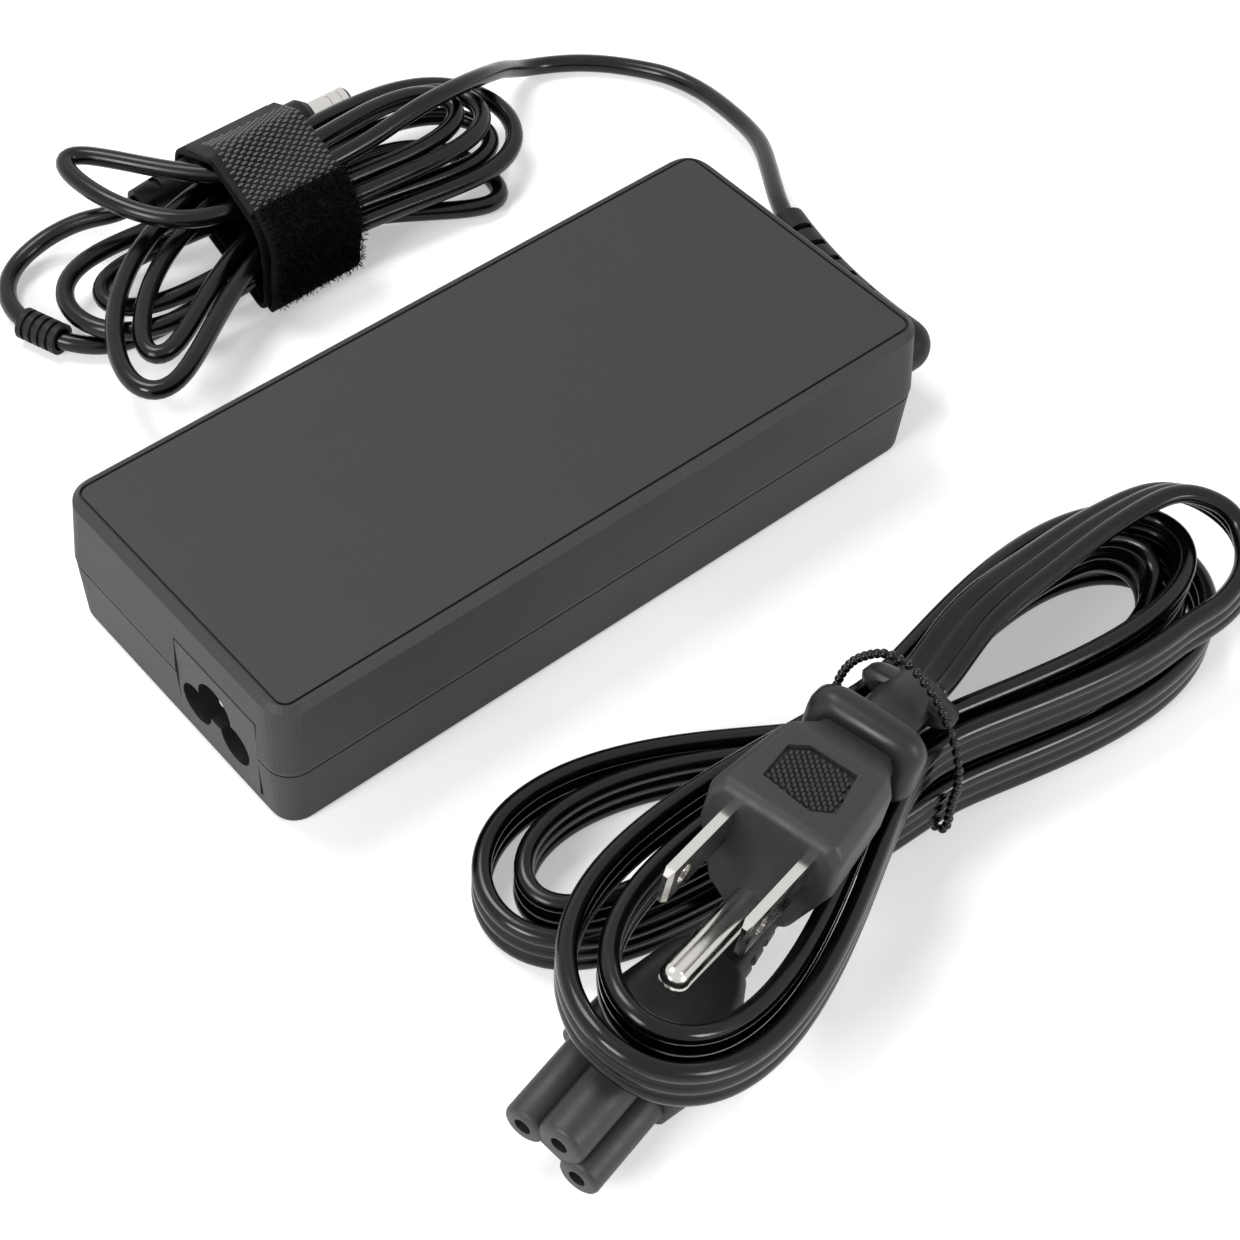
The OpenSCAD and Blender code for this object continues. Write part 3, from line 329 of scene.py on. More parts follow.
def ovals(rows, lift=0.0, way=1):
    """Oval rings across Y, from rows of [y, half width, half height]."""
    return [[(x * a, y, way * z * b + lift) for x, z in circle(1, 24)] for y, a, b in rows]


def apply_modifiers(piece):
    """Turn the evaluated piece into its plain mesh."""
    graph = bpy.context.evaluated_depsgraph_get()
    mesh = bpy.data.meshes.new_from_object(piece.evaluated_get(graph))
    piece.modifiers.clear()
    old = piece.data
    piece.data = mesh
    bpy.data.meshes.remove(old)
    return piece


def bevel(piece, width, segments, angle):
    """Round the edges sharper than an angle, by a width in millimetres."""
    tool = piece.modifiers.new("Rounded edges", "BEVEL")
    tool.width = width * MM
    tool.segments = segments
    tool.limit_method = "ANGLE"
    tool.angle_limit = math.radians(angle)
    return apply_modifiers(piece)


def combine(piece, others, operation="DIFFERENCE"):
    """Cut solids out of a piece, or unite them with it, and delete them."""
    for other in others:
        tool = piece.modifiers.new("Combined", "BOOLEAN")
        tool.operation = operation
        tool.solver = "EXACT"
        tool.object = other
    apply_modifiers(piece)
    for other in others:
        bpy.data.objects.remove(other)


def join(name, pieces):
    """Join pieces into one mesh."""
    joined = bmesh.new()
    for piece in pieces:
        joined.from_mesh(piece.data)
        bpy.data.objects.remove(piece)
    mesh = bpy.data.meshes.new(name)
    joined.to_mesh(mesh)
    joined.free()
    return new_object(name, mesh)


def smooth_by_angle(piece, angle):
    """Smooth faces, with edges sharper than an angle kept sharp."""
    work = bmesh.new()
    work.from_mesh(piece.data)
    for face in work.faces:
        face.smooth = True
    for edge in work.edges:
        edge.smooth = len(edge.link_faces) != 2 or edge.calc_face_angle(0.0) < math.radians(angle)
    work.to_mesh(piece.data)
    work.free()


def box_cutter(low, high):
    """A box between two corners, in millimetres."""
    x0, y0, z0 = low
    x1, y1, z1 = high
    ring = [(x0, y0), (x1, y0), (x1, y1), (x0, y1)]
    return loft("cutter", [[(x, y, z) for x, y in ring] for z in (z0, z1)], smooth=False)


def round_cutter(start, way, length, radius, sides):
    """A round bar from a point along a way."""
    start, way = Vector(start), Vector(way).normalized()
    side = way.orthogonal().normalized()
    up = way.cross(side)
    outline = circle(radius, sides)
    return loft("cutter", [[start + way * s + side * x + up * y for x, y in outline] for s in (0, length)])


def placed(at, turn):
    """The matrix of a plug's own frame, in millimetres."""
    return Matrix.Translation(at) @ Euler([math.radians(a) for a in turn], "XYZ").to_matrix().to_4x4()


def move_into(piece, matrix):
    """Place a piece that was made in a plug's own frame."""
    scale = Matrix.Scale(MM, 4)
    piece.data.transform(scale @ matrix @ scale.inverted())
    return piece


# ---------- node trees for what repeats ----------

def add(tree, kind, inputs=None, **settings):
    """Add a node; an input is a value, an output to link, or a node for its first output."""
    node = tree.nodes.new(kind)
    for name, value in settings.items():
        setattr(node, name, value)
    for key, value in (inputs or {}).items():
        if isinstance(value, bpy.types.Node):
            value = value.outputs[0]
        if isinstance(value, bpy.types.NodeSocket):
            tree.links.new(value, node.inputs[key])
        else:
            node.inputs[key].default_value = value
    return node


def geometry_tree(name, numbers):
    """A Geometry Nodes tree with a geometry, named numbers and a material as inputs; gives both."""
    tree = bpy.data.node_groups.new(name, "GeometryNodeTree")
    tree.is_modifier = True
    for label, kind in {"Geometry": "Geometry", **numbers, "Material": "Material"}.items():
        tree.interface.new_socket(label, in_out="INPUT", socket_type="NodeSocket" + kind)
    tree.interface.new_socket("Geometry", in_out="OUTPUT", socket_type="NodeSocketGeometry")
    return tree, add(tree, "NodeGroupInput").outputs


def finish_tree(tree, given, geometry):
    """Realize Instances, Set Material and the tree's output."""
    solid = add(tree, "GeometryNodeRealizeInstances", {"Geometry": geometry})
    painted = add(tree, "GeometryNodeSetMaterial", {"Geometry": solid, "Material": given["Material"]})
    add(tree, "NodeGroupOutput", {0: painted})
    return tree


def ball_chain_tree():
    """Beads at even steps along a path, on a thin link."""
    tree, given = geometry_tree("Ball chain", {
        "Beads": "Int", "Bead radius": "Float", "Link radius": "Float"})
    path = add(tree, "GeometryNodeMeshToCurve", {"Mesh": given["Geometry"]})
    spots = add(tree, "GeometryNodeResampleCurve", {"Curve": path, "Count": given["Beads"]})
    bead = add(tree, "GeometryNodeMeshUVSphere", {"Segments": 12, "Rings": 8, "Radius": given["Bead radius"]})
    beads = add(tree, "GeometryNodeInstanceOnPoints", {"Points": spots, "Instance": bead})
    ring = add(tree, "GeometryNodeCurvePrimitiveCircle", {"Resolution": 6, "Radius": given["Link radius"]})
    link = add(tree, "GeometryNodeCurveToMesh", {"Curve": path, "Profile Curve": ring})
    both = add(tree, "GeometryNodeJoinGeometry")
    for part in (beads, link):
        tree.links.new(part.outputs[0], both.inputs[0])
    return finish_tree(tree, given, add(tree, "GeometryNodeSetShadeSmooth", {"Geometry": both}))


def stud_tree():
    """A small stud on each point, standing along the point's own direction."""
    tree, given = geometry_tree("Studs", {
        "Foot radius": "Float", "Top radius": "Float", "Height": "Float", "Sides": "Int", "Stretch": "Float"})
    cone = add(tree, "GeometryNodeMeshCone", {
        "Vertices": given["Sides"], "Radius Top": given["Top radius"],
        "Radius Bottom": given["Foot radius"], "Depth": given["Height"]})
    size = add(tree, "ShaderNodeCombineXYZ", {"X": given["Stretch"], "Y": 1.0, "Z": 1.0})
    stud = add(tree, "GeometryNodeTransform", {"Geometry": cone, "Scale": size})
    way = add(tree, "GeometryNodeInputNamedAttribute", {"Name": "way"}, data_type="FLOAT_VECTOR")
    turn = add(tree, "FunctionNodeAlignRotationToVector", {"Vector": way}, axis="Z")
    studs = add(tree, "GeometryNodeInstanceOnPoints", {
        "Points": given["Geometry"], "Instance": stud, "Rotation": turn})
    return finish_tree(tree, given, studs)


def pile_tree():
    """Short fibres scattered over a surface, each leaning its own way."""
    tree, given = geometry_tree("Loop pile", {
        "Density": "Float", "Length": "Float", "Radius": "Float", "Seed": "Int"})
    spots = add(tree, "GeometryNodeDistributePointsOnFaces", {
        "Mesh": given["Geometry"], "Density": given["Density"], "Seed": given["Seed"]})
    fibre = add(tree, "GeometryNodeMeshCone", {
        "Vertices": 3, "Radius Top": given["Radius"], "Radius Bottom": given["Radius"],
        "Depth": given["Length"]}, fill_type="NONE")
    sway = add(tree, "FunctionNodeRandomValue", {
        0: (-0.95, -0.95, 0.0), 1: (0.95, 0.95, 6.28), "Seed": given["Seed"]}, data_type="FLOAT_VECTOR")
    lean = add(tree, "FunctionNodeEulerToRotation", {"Euler": sway})
    turn = add(tree, "FunctionNodeRotateRotation", {
        "Rotation": spots.outputs["Rotation"], "Rotate By": lean}, rotation_space="LOCAL")
    grow = add(tree, "FunctionNodeRandomValue", {
        2: 0.5, 3: 1.3, "Seed": given["Seed"]}, data_type="FLOAT")
    fibres = add(tree, "GeometryNodeInstanceOnPoints", {
        "Points": spots, "Instance": fibre, "Rotation": turn, "Scale": grow.outputs[1]})
    return finish_tree(tree, given, fibres)


def grow_tree(name, base, tree, values):
    """Run a Geometry Nodes tree on a base and keep the result as a plain piece; the base is deleted."""
    tool = base.modifiers.new(tree.name, "NODES")
    tool.node_group = tree
    sockets = {s.name: s.identifier for s in tree.interface.items_tree if s.in_out == "INPUT"}
    for label, value in values.items():
        tool[sockets[label]] = value
    graph = bpy.context.evaluated_depsgraph_get()
    mesh = bpy.data.meshes.new_from_object(base.evaluated_get(graph))
    mesh.name = name
    bpy.data.objects.remove(base)
    return new_object(name, mesh)


def points_with_ways(name, points, ways):
    """Loose points in millimetres, each with the direction that its stud stands along."""
    mesh = new_mesh(name, points)
    layer = mesh.attributes.new("way", "FLOAT_VECTOR", "POINT")
    for i, way in enumerate(ways):
        layer.data[i].vector = way
    return new_object(name, mesh)


# ---------- materials ----------

def new_material(name, rgb, roughness, specular=0.5, ior=None, metallic=0.0):
    """A material with its node tree and its shader."""
    material = bpy.data.materials.new(name)
    material.use_nodes = True
    tree = material.node_tree
    shader = tree.nodes["Principled BSDF"]
    values = {
        "Base Color": (*rgb, 1), "Roughness": roughness, "Metallic": metallic, "Specular IOR Level": specular}
    if ior is not None:
        values["IOR"] = ior
    for label, value in values.items():
        shader.inputs[label].default_value = value
    return material, tree, shader


def object_noise(tree, size, detail=2.0, roughness=0.5):
    """Noise with grains of a size in millimetres."""
    place = add(tree, "ShaderNodeTexCoord")
    return add(tree, "ShaderNodeTexNoise", {
        "Vector": place.outputs["Object"], "Scale": 1 / (size * MM), "Detail": detail,
        "Roughness": roughness})


def shade(rgb, factor):
    """A colour made darker or lighter."""
    return tuple(min(1.0, c * factor) for c in rgb)


def vary_colour(tree, shader, source, rgb, dark, light, low=0.35, high=0.65):
    """Change a colour between a darker and a lighter factor of it as the source goes from low to high."""
    ramp = add(tree, "ShaderNodeMapRange", {"Value": source, "From Min": low, "From Max": high})
    mix = add(tree, "ShaderNodeMix", {
        "Factor": ramp, "A": (*shade(rgb, dark), 1), "B": (*shade(rgb, light), 1)}, data_type="RGBA")
    tree.links.new(mix.outputs[2], shader.inputs["Base Color"])


def vary_roughness(tree, shader, source, low, high):
    """Change the gloss slowly over the surface."""
    span = add(tree, "ShaderNodeMapRange", {
        "Value": source, "From Min": 0.3, "From Max": 0.7, "To Min": low, "To Max": high})
    tree.links.new(span.outputs[0], shader.inputs["Roughness"])


def raise_bumps(tree, shader, source, depth, strength):
    """Bumps of a depth in millimetres."""
    bump = add(tree, "ShaderNodeBump", {"Height": source, "Distance": depth * MM, "Strength": strength})
    tree.links.new(bump.outputs[0], shader.inputs["Normal"])


def grained(name, rgb, roughness, grain, tones=None, bumps=None, gloss=None, cloud=None, **shine):
    """A material whose grain changes its colour and height; gloss follows the cloud, or the grain."""
    material, tree, shader = new_material(name, rgb, roughness, **shine)
    fine = object_noise(tree, *grain)
    if tones:
        vary_colour(tree, shader, fine, rgb, *tones)
    if gloss:
        vary_roughness(tree, shader, object_noise(tree, *cloud) if cloud else fine, *gloss)
    if bumps:
        raise_bumps(tree, shader, fine, *bumps)
    return material


PLASTIC_IOR = 1.53


def spark_eroded_abs(rgb):
    """ABS moulded in a spark-eroded tool: matt, with a fine even grain that breaks up its shine."""
    # Real grain is about 0.1 mm; it is drawn at 0.3 mm so that it shows
    return grained(
        "spark_eroded_abs", rgb, 0.55, (0.3, 3.0, 0.6), (0.86, 1.16), (0.06, 0.55), (0.54, 0.57), (9.0,),
        specular=0.3, ior=PLASTIC_IOR)


def moulded_nylon(rgb):
    """Nylon of the inlet insert: smoother than the shells, with a faint swirl."""
    return grained(
        "moulded_nylon", rgb, 0.42, (0.5,), bumps=(0.02, 0.5), gloss=(0.36, 0.5),
        specular=0.25, ior=PLASTIC_IOR)


def nickel_plate(rgb):
    """Nickel on brass: bright, with fine rubbing marks from use."""
    return grained(
        "nickel_plate", rgb, 0.2, (0.35, 5.0, 0.7), bumps=(0.006, 0.25), gloss=(0.12, 0.24), cloud=(3.0,),
        metallic=1.0)


def pvc_jacket(rgb, name, roughness, tone=1.0):
    """Extruded PVC: smooth and waxy, with slow changes of gloss along it."""
    return grained(
        name, shade(rgb, tone), roughness, (0.4,), bumps=(0.012, 0.4),
        gloss=(roughness - 0.06, roughness + 0.08), cloud=(5.0,), specular=0.3, ior=PLASTIC_IOR)


def soft_pvc(rgb):
    """Soft moulded PVC of boots and sleeves: matt with a dusty bloom."""
    return grained(
        "soft_pvc", rgb, 0.5, (0.35, 3.0), (0.85, 1.2), (0.03, 0.5), specular=0.2, ior=PLASTIC_IOR)


def moulded_vinyl(rgb, name="moulded_vinyl", tone=1.0):
    """Vinyl of the plugs: grained like fine leather, with a low sheen."""
    return grained(
        name, shade(rgb, tone), 0.4, (0.4, 4.0, 0.6), (0.84, 1.18), (0.05, 0.6), (0.42, 0.54), (4.0,),
        specular=0.4, ior=PLASTIC_IOR)


def hook_weave(rgb):
    """Woven nylon tape under the hooks: plain weave, its threads 0.5 mm apart."""
    material, tree, shader = new_material("hook_weave", rgb, 0.6, 0.15, PLASTIC_IOR)
    uv = add(tree, "ShaderNodeUVMap", uv_map="surface")
    # The strip's own map is in millimetres, so one wave of 2 pi radians is one pair of threads
    parts = add(tree, "ShaderNodeSeparateXYZ", {"Vector": uv})
    threads = []
    for axis in ("X", "Y"):
        turned = add(tree, "ShaderNodeMath", {0: parts.outputs[axis], 1: math.tau}, operation="MULTIPLY")
        threads.append(add(tree, "ShaderNodeMath", {0: turned}, operation="SINE"))
    weave = add(tree, "ShaderNodeMath", {0: threads[0], 1: threads[1]}, operation="MULTIPLY")
    vary_colour(tree, shader, weave, rgb, 0.6, 1.5, -0.8, 0.8)
    raise_bumps(tree, shader, weave, 0.12, 0.8)
    return material


def strap_tape(rgb):
    """Nylon tape that carries the pile: close weave, with a smooth woven edge."""
    material, tree, shader = new_material("strap_tape", rgb, 0.7, 0.05, PLASTIC_IOR)
    uv = add(tree, "ShaderNodeUVMap", uv_map="surface")
    # Threads are 0.4 mm apart, drawn at 0.8 mm so that they show; at scale 1 a unit holds 3.2 waves
    thread, waves = 0.8, 3.2
    wave = add(tree, "ShaderNodeTexWave", {
        "Vector": uv, "Scale": 1 / thread / waves, "Distortion": 0.6, "Detail": 1.0}, bands_direction="Y")
    threads = wave.outputs["Fac"]
    vary_colour(tree, shader, threads, rgb, 0.7, 1.25, 0.2, 0.8)
    raise_bumps(tree, shader, threads, 0.08, 0.6)
    return material


def brushed_pile(rgb):
    """Brushed nylon loops: light is lost among them, so they look blacker than the tape they stand on."""
    return grained(
        "brushed_pile", rgb, 0.85, (0.7, 4.0, 0.7), (0.5, 1.9, 0.35, 0.7), (0.35, 1.0),
        specular=0.03, ior=PLASTIC_IOR)


def plain_plastic(rgb, name, roughness, grain_size=0.6):
    """Moulded plastic of small parts, with a faint grain."""
    return grained(name, rgb, roughness, (grain_size,), (0.9, 1.08), (0.02, 0.4), ior=1.5)


def plain_metal(rgb, name, roughness):
    """Bare metal of inner parts, dulled in patches."""
    return grained(name, rgb, roughness, (2.0, 3.0), gloss=(roughness - 0.08, roughness + 0.12), metallic=1.0)


def paint(piece, material):
    """Give a piece one material."""
    piece.data.materials.clear()
    piece.data.materials.append(material)
    piece.data.polygons.foreach_set("material_index", [0] * len(piece.data.polygons))
    return piece


def settings():
    """The sizes of the cords, of the trim, and the finishes."""
    return bpy.context.scene.adapter_cords, bpy.context.scene.adapter_trim, bpy.context.scene.adapter_finishes


# Each finish: what makes it, its colour as a hex colour or a setting's name, and the maker's other values
MAKERS = {
    "abs": (spark_eroded_abs, "housing"),
    "nylon": (moulded_nylon, "#242425"),
    "nickel": (nickel_plate, "nickel"),
    "jacket": (pvc_jacket, "jacket", "pvc_jacket", 0.22),
    "flat_jacket": (pvc_jacket, "jacket", "flat_pvc_jacket", 0.2),
    "boot": (soft_pvc, "boot"),
    "vinyl": (moulded_vinyl, "vinyl"),
    # The grip's vinyl is the plug vinyl darkened to 0.55: painted shade in the plug's sunk grip
    "grip": (moulded_vinyl, "vinyl", "grip_vinyl", 0.55),
    "neck": (pvc_jacket, "vinyl", "neck_vinyl", 0.38, 0.6),
    "hook_weave": (hook_weave, "hook_tape"),
    "hooks": (plain_plastic, "#4C4C4E", "hook_nylon", 0.45, 0.3),
    "tape": (strap_tape, "hook_tape"),
    "pile": (brushed_pile, "pile"),
    "bead": (pvc_jacket, "#0B0B0C", "bead_plastic", 0.2),
    "hole": (plain_plastic, "#0A0A0B", "black_insulator", 0.4),
    "brass": (plain_metal, "#B8933C", "brass", 0.35),
    "aluminium": (plain_metal, "#B9BCC0", "mill_aluminium", 0.38),
    "board": (plain_plastic, "#2F6B3C", "solder_mask", 0.35, 1.5),
    "sheet": (plain_plastic, "#D8CFA8", "insulating_film", 0.4, 2.0),
    "fuse": (plain_plastic, "#D9C27A", "ceramic", 0.3),
    "film": (plain_plastic, "#C9A227", "yellow_film_case", 0.3),
    "choke": (plain_plastic, "#8A4E26", "enamelled_wire", 0.3, 0.4),
    "black_part": (plain_plastic, "#262626", "black_epoxy", 0.45),
    "sleeve": (plain_plastic, "#25324D", "shrink_sleeve", 0.25),
    "ferrite": (plain_plastic, "#4A4A4A", "ferrite", 0.7, 0.4),
    "winding": (plain_plastic, "#C8862C", "winding_tape", 0.25),
    "white_part": (plain_plastic, "#E8E8E4", "white_epoxy", 0.45),
    "red_wire": (plain_plastic, "#8C1F1F", "wire_insulation", 0.4),
}
_made = {}


def finish(name):
    """The object's materials by name, each made once."""
    if name not in _made:
        maker, tone, *values = MAKERS[name]
        rgb = hex_rgb(tone) if tone.startswith("#") else tuple(getattr(settings()[2], tone))
        _made[name] = maker(rgb, *values)
    return _made[name]


# ---------- cords ----------

def hank_point(turns):
    """Centre line of the output cord's hank after a number of turns."""
    q = sum(clamp01((turns - t) / LAYER_CHANGE + 0.5) for t in LAYER_ENDS)
    r = 0 if turns < 1 else turns - 1 if turns < 3 else 5 - turns if turns < 5 else 0
    c, s = math.cos(math.tau * turns), math.sin(math.tau * turns)
    n = int(q + 0.5)
    right = c >= 0
    reach = 40 + 5 * r if right else LEFT_REACH[n] + 6 * r
    bulge = 8 + 2.2 * r + 10 * max(0, q - 2) if right else LEFT_BULGE[n] + 5.8 * r
    bend = -3.5 * max(0, q - 1) - 5 * max(0, q - 2) if right else LEFT_BEND[n] * (1 + 0.25 * r)
    early = 1.1 if n == 1 and not right else 1
    lift = 2.5 * c * c if n == 0 and not right else 0
    diameter = settings()[0].output_diameter
    return Vector((
        HANK_CENTRE[0] + reach * c,
        HANK_CENTRE[1] - s * (WAIST_HALF + TURN_STEP * r + bulge * c * c)
        + bend * (1 - (1 - c * c) ** early),
        diameter / 2 + LAYER_STEP * (3 - q) + WAIST_LIFT * (1 - c * c) + lift))


def soft_abs(c):
    """A number's size, rounded off near nought."""
    return math.sqrt(c * c + 0.01) - 0.1


def mains_point(turns):
    """Centre line of the mains cord's hank: wound in on top and out again below."""
    c, s, r = math.cos(math.tau * turns), math.sin(math.tau * turns), abs(turns - MAINS_MID)
    m = soft_abs(c) / soft_abs(1)
    q = clamp01((turns - MAINS_MID) / MAINS_CHANGE + 0.5)
    upper = turns < MAINS_MID
    if c >= 0:
        reach, bulge, bend = 58 + 4.5 * r, 13 + 4 * r, 0.0
    elif upper:
        reach, bulge, bend = 64.5 + 5.5 * r, 21.5 + 5 * r, -17 * m
    else:
        reach, bulge, bend = 54 + 6 * r, 13 + 6 * r, 14.4 * (1 - (1 - m) ** 2)
    lift = 10.2 * m * c * c if c < 0 and upper else 0.0
    return Vector((
        MAINS_CENTRE[0] + reach * c,
        MAINS_CENTRE[1] - s * (1 + 4.1 * r + bulge * soft_abs(c)) + bend,
        FLAT_H / 2 + FLAT_STEP * (1 - q) + lift + TIE_LIFT * (1 - c * c)))


def turn_points(point, first, last, per_turn=96):
    """Points of a hank from one number of turns to another."""
    count = math.ceil(per_turn * (last - first))
    return [point(first + (last - first) * i / count) for i in range(count + 1)]


class ADAPTER_OT_output_cord(bpy.types.Operator):
    """Sweep the output cord from its boot through the hank to the plug"""
    bl_idname = "adapter.output_cord"
    bl_label = "Output cord"

    def execute(self, context):
        sizes = settings()[0]
        d = sizes.output_diameter
        hank = turn_points(hank_point, *HANK_TURNS)
        into = (hank[1] - hank[0]).normalized()
        lead = spline(CORD_ROUTE + [hank[0] - 4 * into, hank[0]], 10)
        tail = spline([hank[-1]] + TAIL_ROUTE + [PLUG_CORD_END], 10)
        path = eased(even(lead[:-1] + hank + tail[1:], sizes.ring_step), EASING)
        cord = sweep("output_cord", path, circle(d / 2, CORD_SIDES), BOOT_TIP - BOOT_BEND, Vector((1, 0, 0)))
        paint(cord, finish("jacket"))
        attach(cord, ADAPTER)
        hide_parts("dc_cord", "dc_cord_hank", "dc_cord_tail")
        return {"FINISHED"}


def flat_cord_outline(groove):
    """Section of the flat cord: three cores side by side, with shallow grooves between them."""
    r = FLAT_T / 2
    pitch = (FLAT_H - FLAT_T) / 2
    lobe = math.degrees(math.acos(clamp01((r - groove) / r)))
    half = []
    # Up one flat side: the end core, the middle core and the other end core
    for k, (low, high) in enumerate([(-90, lobe), (-lobe, lobe), (-lobe, 90)]):
        steps = 8 if k != 1 else 5
        for j in range(steps + 1):
            a = math.radians(low + (high - low) * j / steps)
            half.append((r * math.cos(a), (k - 1) * pitch + r * math.sin(a)))
    return half + [(-x, -y) for x, y in half]


class ADAPTER_OT_mains_cord(bpy.types.Operator):
    """Sweep the flat mains cord from the wall plug's neck through the hank to the connector"""
    bl_idname = "adapter.mains_cord"
    bl_label = "Mains cord"

    def execute(self, context):
        sizes = settings()[0]
        plug = placed(WALL_PLUG_AT, WALL_PLUG_TURN)
        start = plug @ Vector((0, -43, 0))
        out = (start - plug @ Vector((0, -42, 0))).normalized()
        hank = turn_points(mains_point, *MAINS_TURNS)
        lead = [start, start + 4 * out] + [Vector(p) for p in START_ROUTE] + [hank[0]]
        first = spline(lead, 8)
        first_lean = [90 * clamp01(1.2 - 1.3 * i / (len(first) - 1)) for i in range(len(first))]
        connector = placed(CONNECTOR_AT, CONNECTOR_TURN)
        tip = connector @ Vector((0, -52, 0.4))
        into = (connector @ Vector((0, -51, 0.4)) - tip).normalized()
        end = spline([hank[-1]] + [Vector(p) for p in END_ROUTE] + [tip - 3 * into, tip], 8)
        end_lean = [60 * (i / (len(end) - 1)) ** 2 for i in range(len(end))]
        points = first[:-1] + hank + end[1:]
        leans = first_lean[:-1] + [0.0] * len(hank) + end_lean[1:]
        run = run_length(points)
        path = eased(even(points, sizes.ring_step), EASING)
        lean = []
        for k in range(len(path)):
            i, t = stretch_at(run, run[-1] * k / (len(path) - 1))
            lean.append(leans[i] * (1 - t) + leans[i + 1] * t)
        cord = sweep("mains_cord", path, flat_cord_outline(sizes.groove), out, into, lean)
        paint(cord, finish("flat_jacket"))
        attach(cord, MAINS)
        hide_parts("mains_cord_start", "mains_cord_hank", "mains_cord_end")
        return {"FINISHED"}


# ---------- strap ----------

def strap_outline(grow):
    """The strap's section off its inner face, in Y and Z, anticlockwise from the top."""
    outline = []
    for k in range(361):
        a = math.radians(90 + k)
        n = Vector((math.cos(a), math.sin(a)))
        y, z, radius = max(STRAP_CORNERS, key=lambda q: q[0] * n.x + q[1] * n.y + q[2])
        out = radius + grow
        outline.append(Vector((0, y + out * n.x, max(z + out * n.y, STRAP_FLOOR + grow))))
    return outline


def strap_run(grow, start, length, step=0.5):
    """Points along the strap's section from a distance along it; a negative length runs backwards."""
    loop = strap_outline(grow)
    run = run_length(loop)
    count = max(2, round(abs(length) / step))
    return [at_distance(loop, run, (start + length * k / count) % run[-1]) for k in range(count + 1)]


def run_to_tab(grow):
    """Distance along the section, anticlockwise from its top, at which the tab's front edge lies."""
    loop = strap_outline(grow)
    for p, s in zip(loop, run_length(loop)):
        if p.y < TAB_FROM:
            return s
    raise ValueError("the tab's edge is not on the strap")


def skewed(x, y):
    """Place of a point of the strap along X: the strap runs askew over the hank."""
    return x + STRAP_SKEW * (y - PLUG_Y)


def band(name, line, x0, x1, thickness, lift=None, columns=20):
    """A strip of cloth along a line in Y and Z, between two edges in X; lift raises it off the line."""
    rows, w = len(line), columns + 1
    ways = headings(line)
    run = run_length(line)
    vertices, uv = [], []
    for side in (0.5, -0.5):
        for i, (p, d) in enumerate(zip(line, ways)):
            out = Vector((0, d.z, -d.y))
            for j in range(w):
                u = j / columns
                x = x0 + (x1 - x0) * u
                q = p + out * (side * thickness + (lift(u, run[i]) if lift else 0.0))
                vertices.append((skewed(x, q.y), q.y, max(q.z, 0.02)))
                uv.append((x - x0, run[i]))
    low = rows * w
    faces = []
    for i in range(rows - 1):
        for j in range(columns):
            a, b, c, d = i * w + j, i * w + j + 1, (i + 1) * w + j + 1, (i + 1) * w + j
            faces += [(a, b, c, d), (low + a, low + d, low + c, low + b)]
    edge = list(range(w)) + [i * w + columns for i in range(1, rows)]
    edge += [(rows - 1) * w + j for j in range(columns - 1, -1, -1)] + [i * w for i in range(rows - 2, 0, -1)]
    for a, b in zip(edge, edge[1:] + edge[:1]):
        faces.append((a, low + a, low + b, b))
    piece = new_piece(name, vertices, faces, uv=uv)
    work = bmesh.new()
    work.from_mesh(piece.data)
    bmesh.ops.recalc_face_normals(work, faces=work.faces)
    work.to_mesh(piece.data)
    work.free()
    return piece


def cloth(name, line, x0, x1, thickness, rounding, look, lift=None):
    """A strip with rounded edges and its finish."""
    return paint(bevel(band(name, line, x0, x1, thickness, lift), rounding, 2, 50), finish(look))


def bowed(u, s):
    """How far the overlap stands off the strap: it bellies out in front, waves and lifts at its edge."""
    belly = 1.3 * math.sin(math.pi * clamp01(s / 19)) ** 2
    return belly + 0.3 * math.sin(0.35 * s) * (1 - u) + 0.5 * max(0.0, 1 - s / 3) * (0.4 + 0.6 * u)


def curled(u, s):
    """How far the hook tab stands off the strap: one of its sides curls up."""
    return 0.9 * (1 - u) ** 3 * math.sin(math.pi * clamp01((s - 4) / (TAB_LENGTH - 4))) ** 2


def hook_spots(line, x0, width, pitch, height):
    """Staggered rows of points on the tab, and the way that each one faces."""
    margin, bare_end, row_pitch = 1.4, 6, pitch * 0.4
    points, ways = [], []
    directions, run = headings(line), run_length(line)
    row, s = 0, 0.6
    while s < run[-1] - bare_end:
        p = at_distance(line, run, s)
        way = directions[min(range(len(run)), key=lambda k: abs(run[k] - s))]
        out = Vector((0, -way.z, way.y))
        x = margin + 0.2 + (pitch / 2 if row % 2 else 0)
        while x < width - margin:
            q = p + out * (height + curled(x / width, s) + 0.02)
            points.append(Vector((skewed(x0 + 0.4 + x, q.y), q.y, q.z)))
            ways.append(out)
            x += pitch
        row += 1
        s += row_pitch
    return points, ways


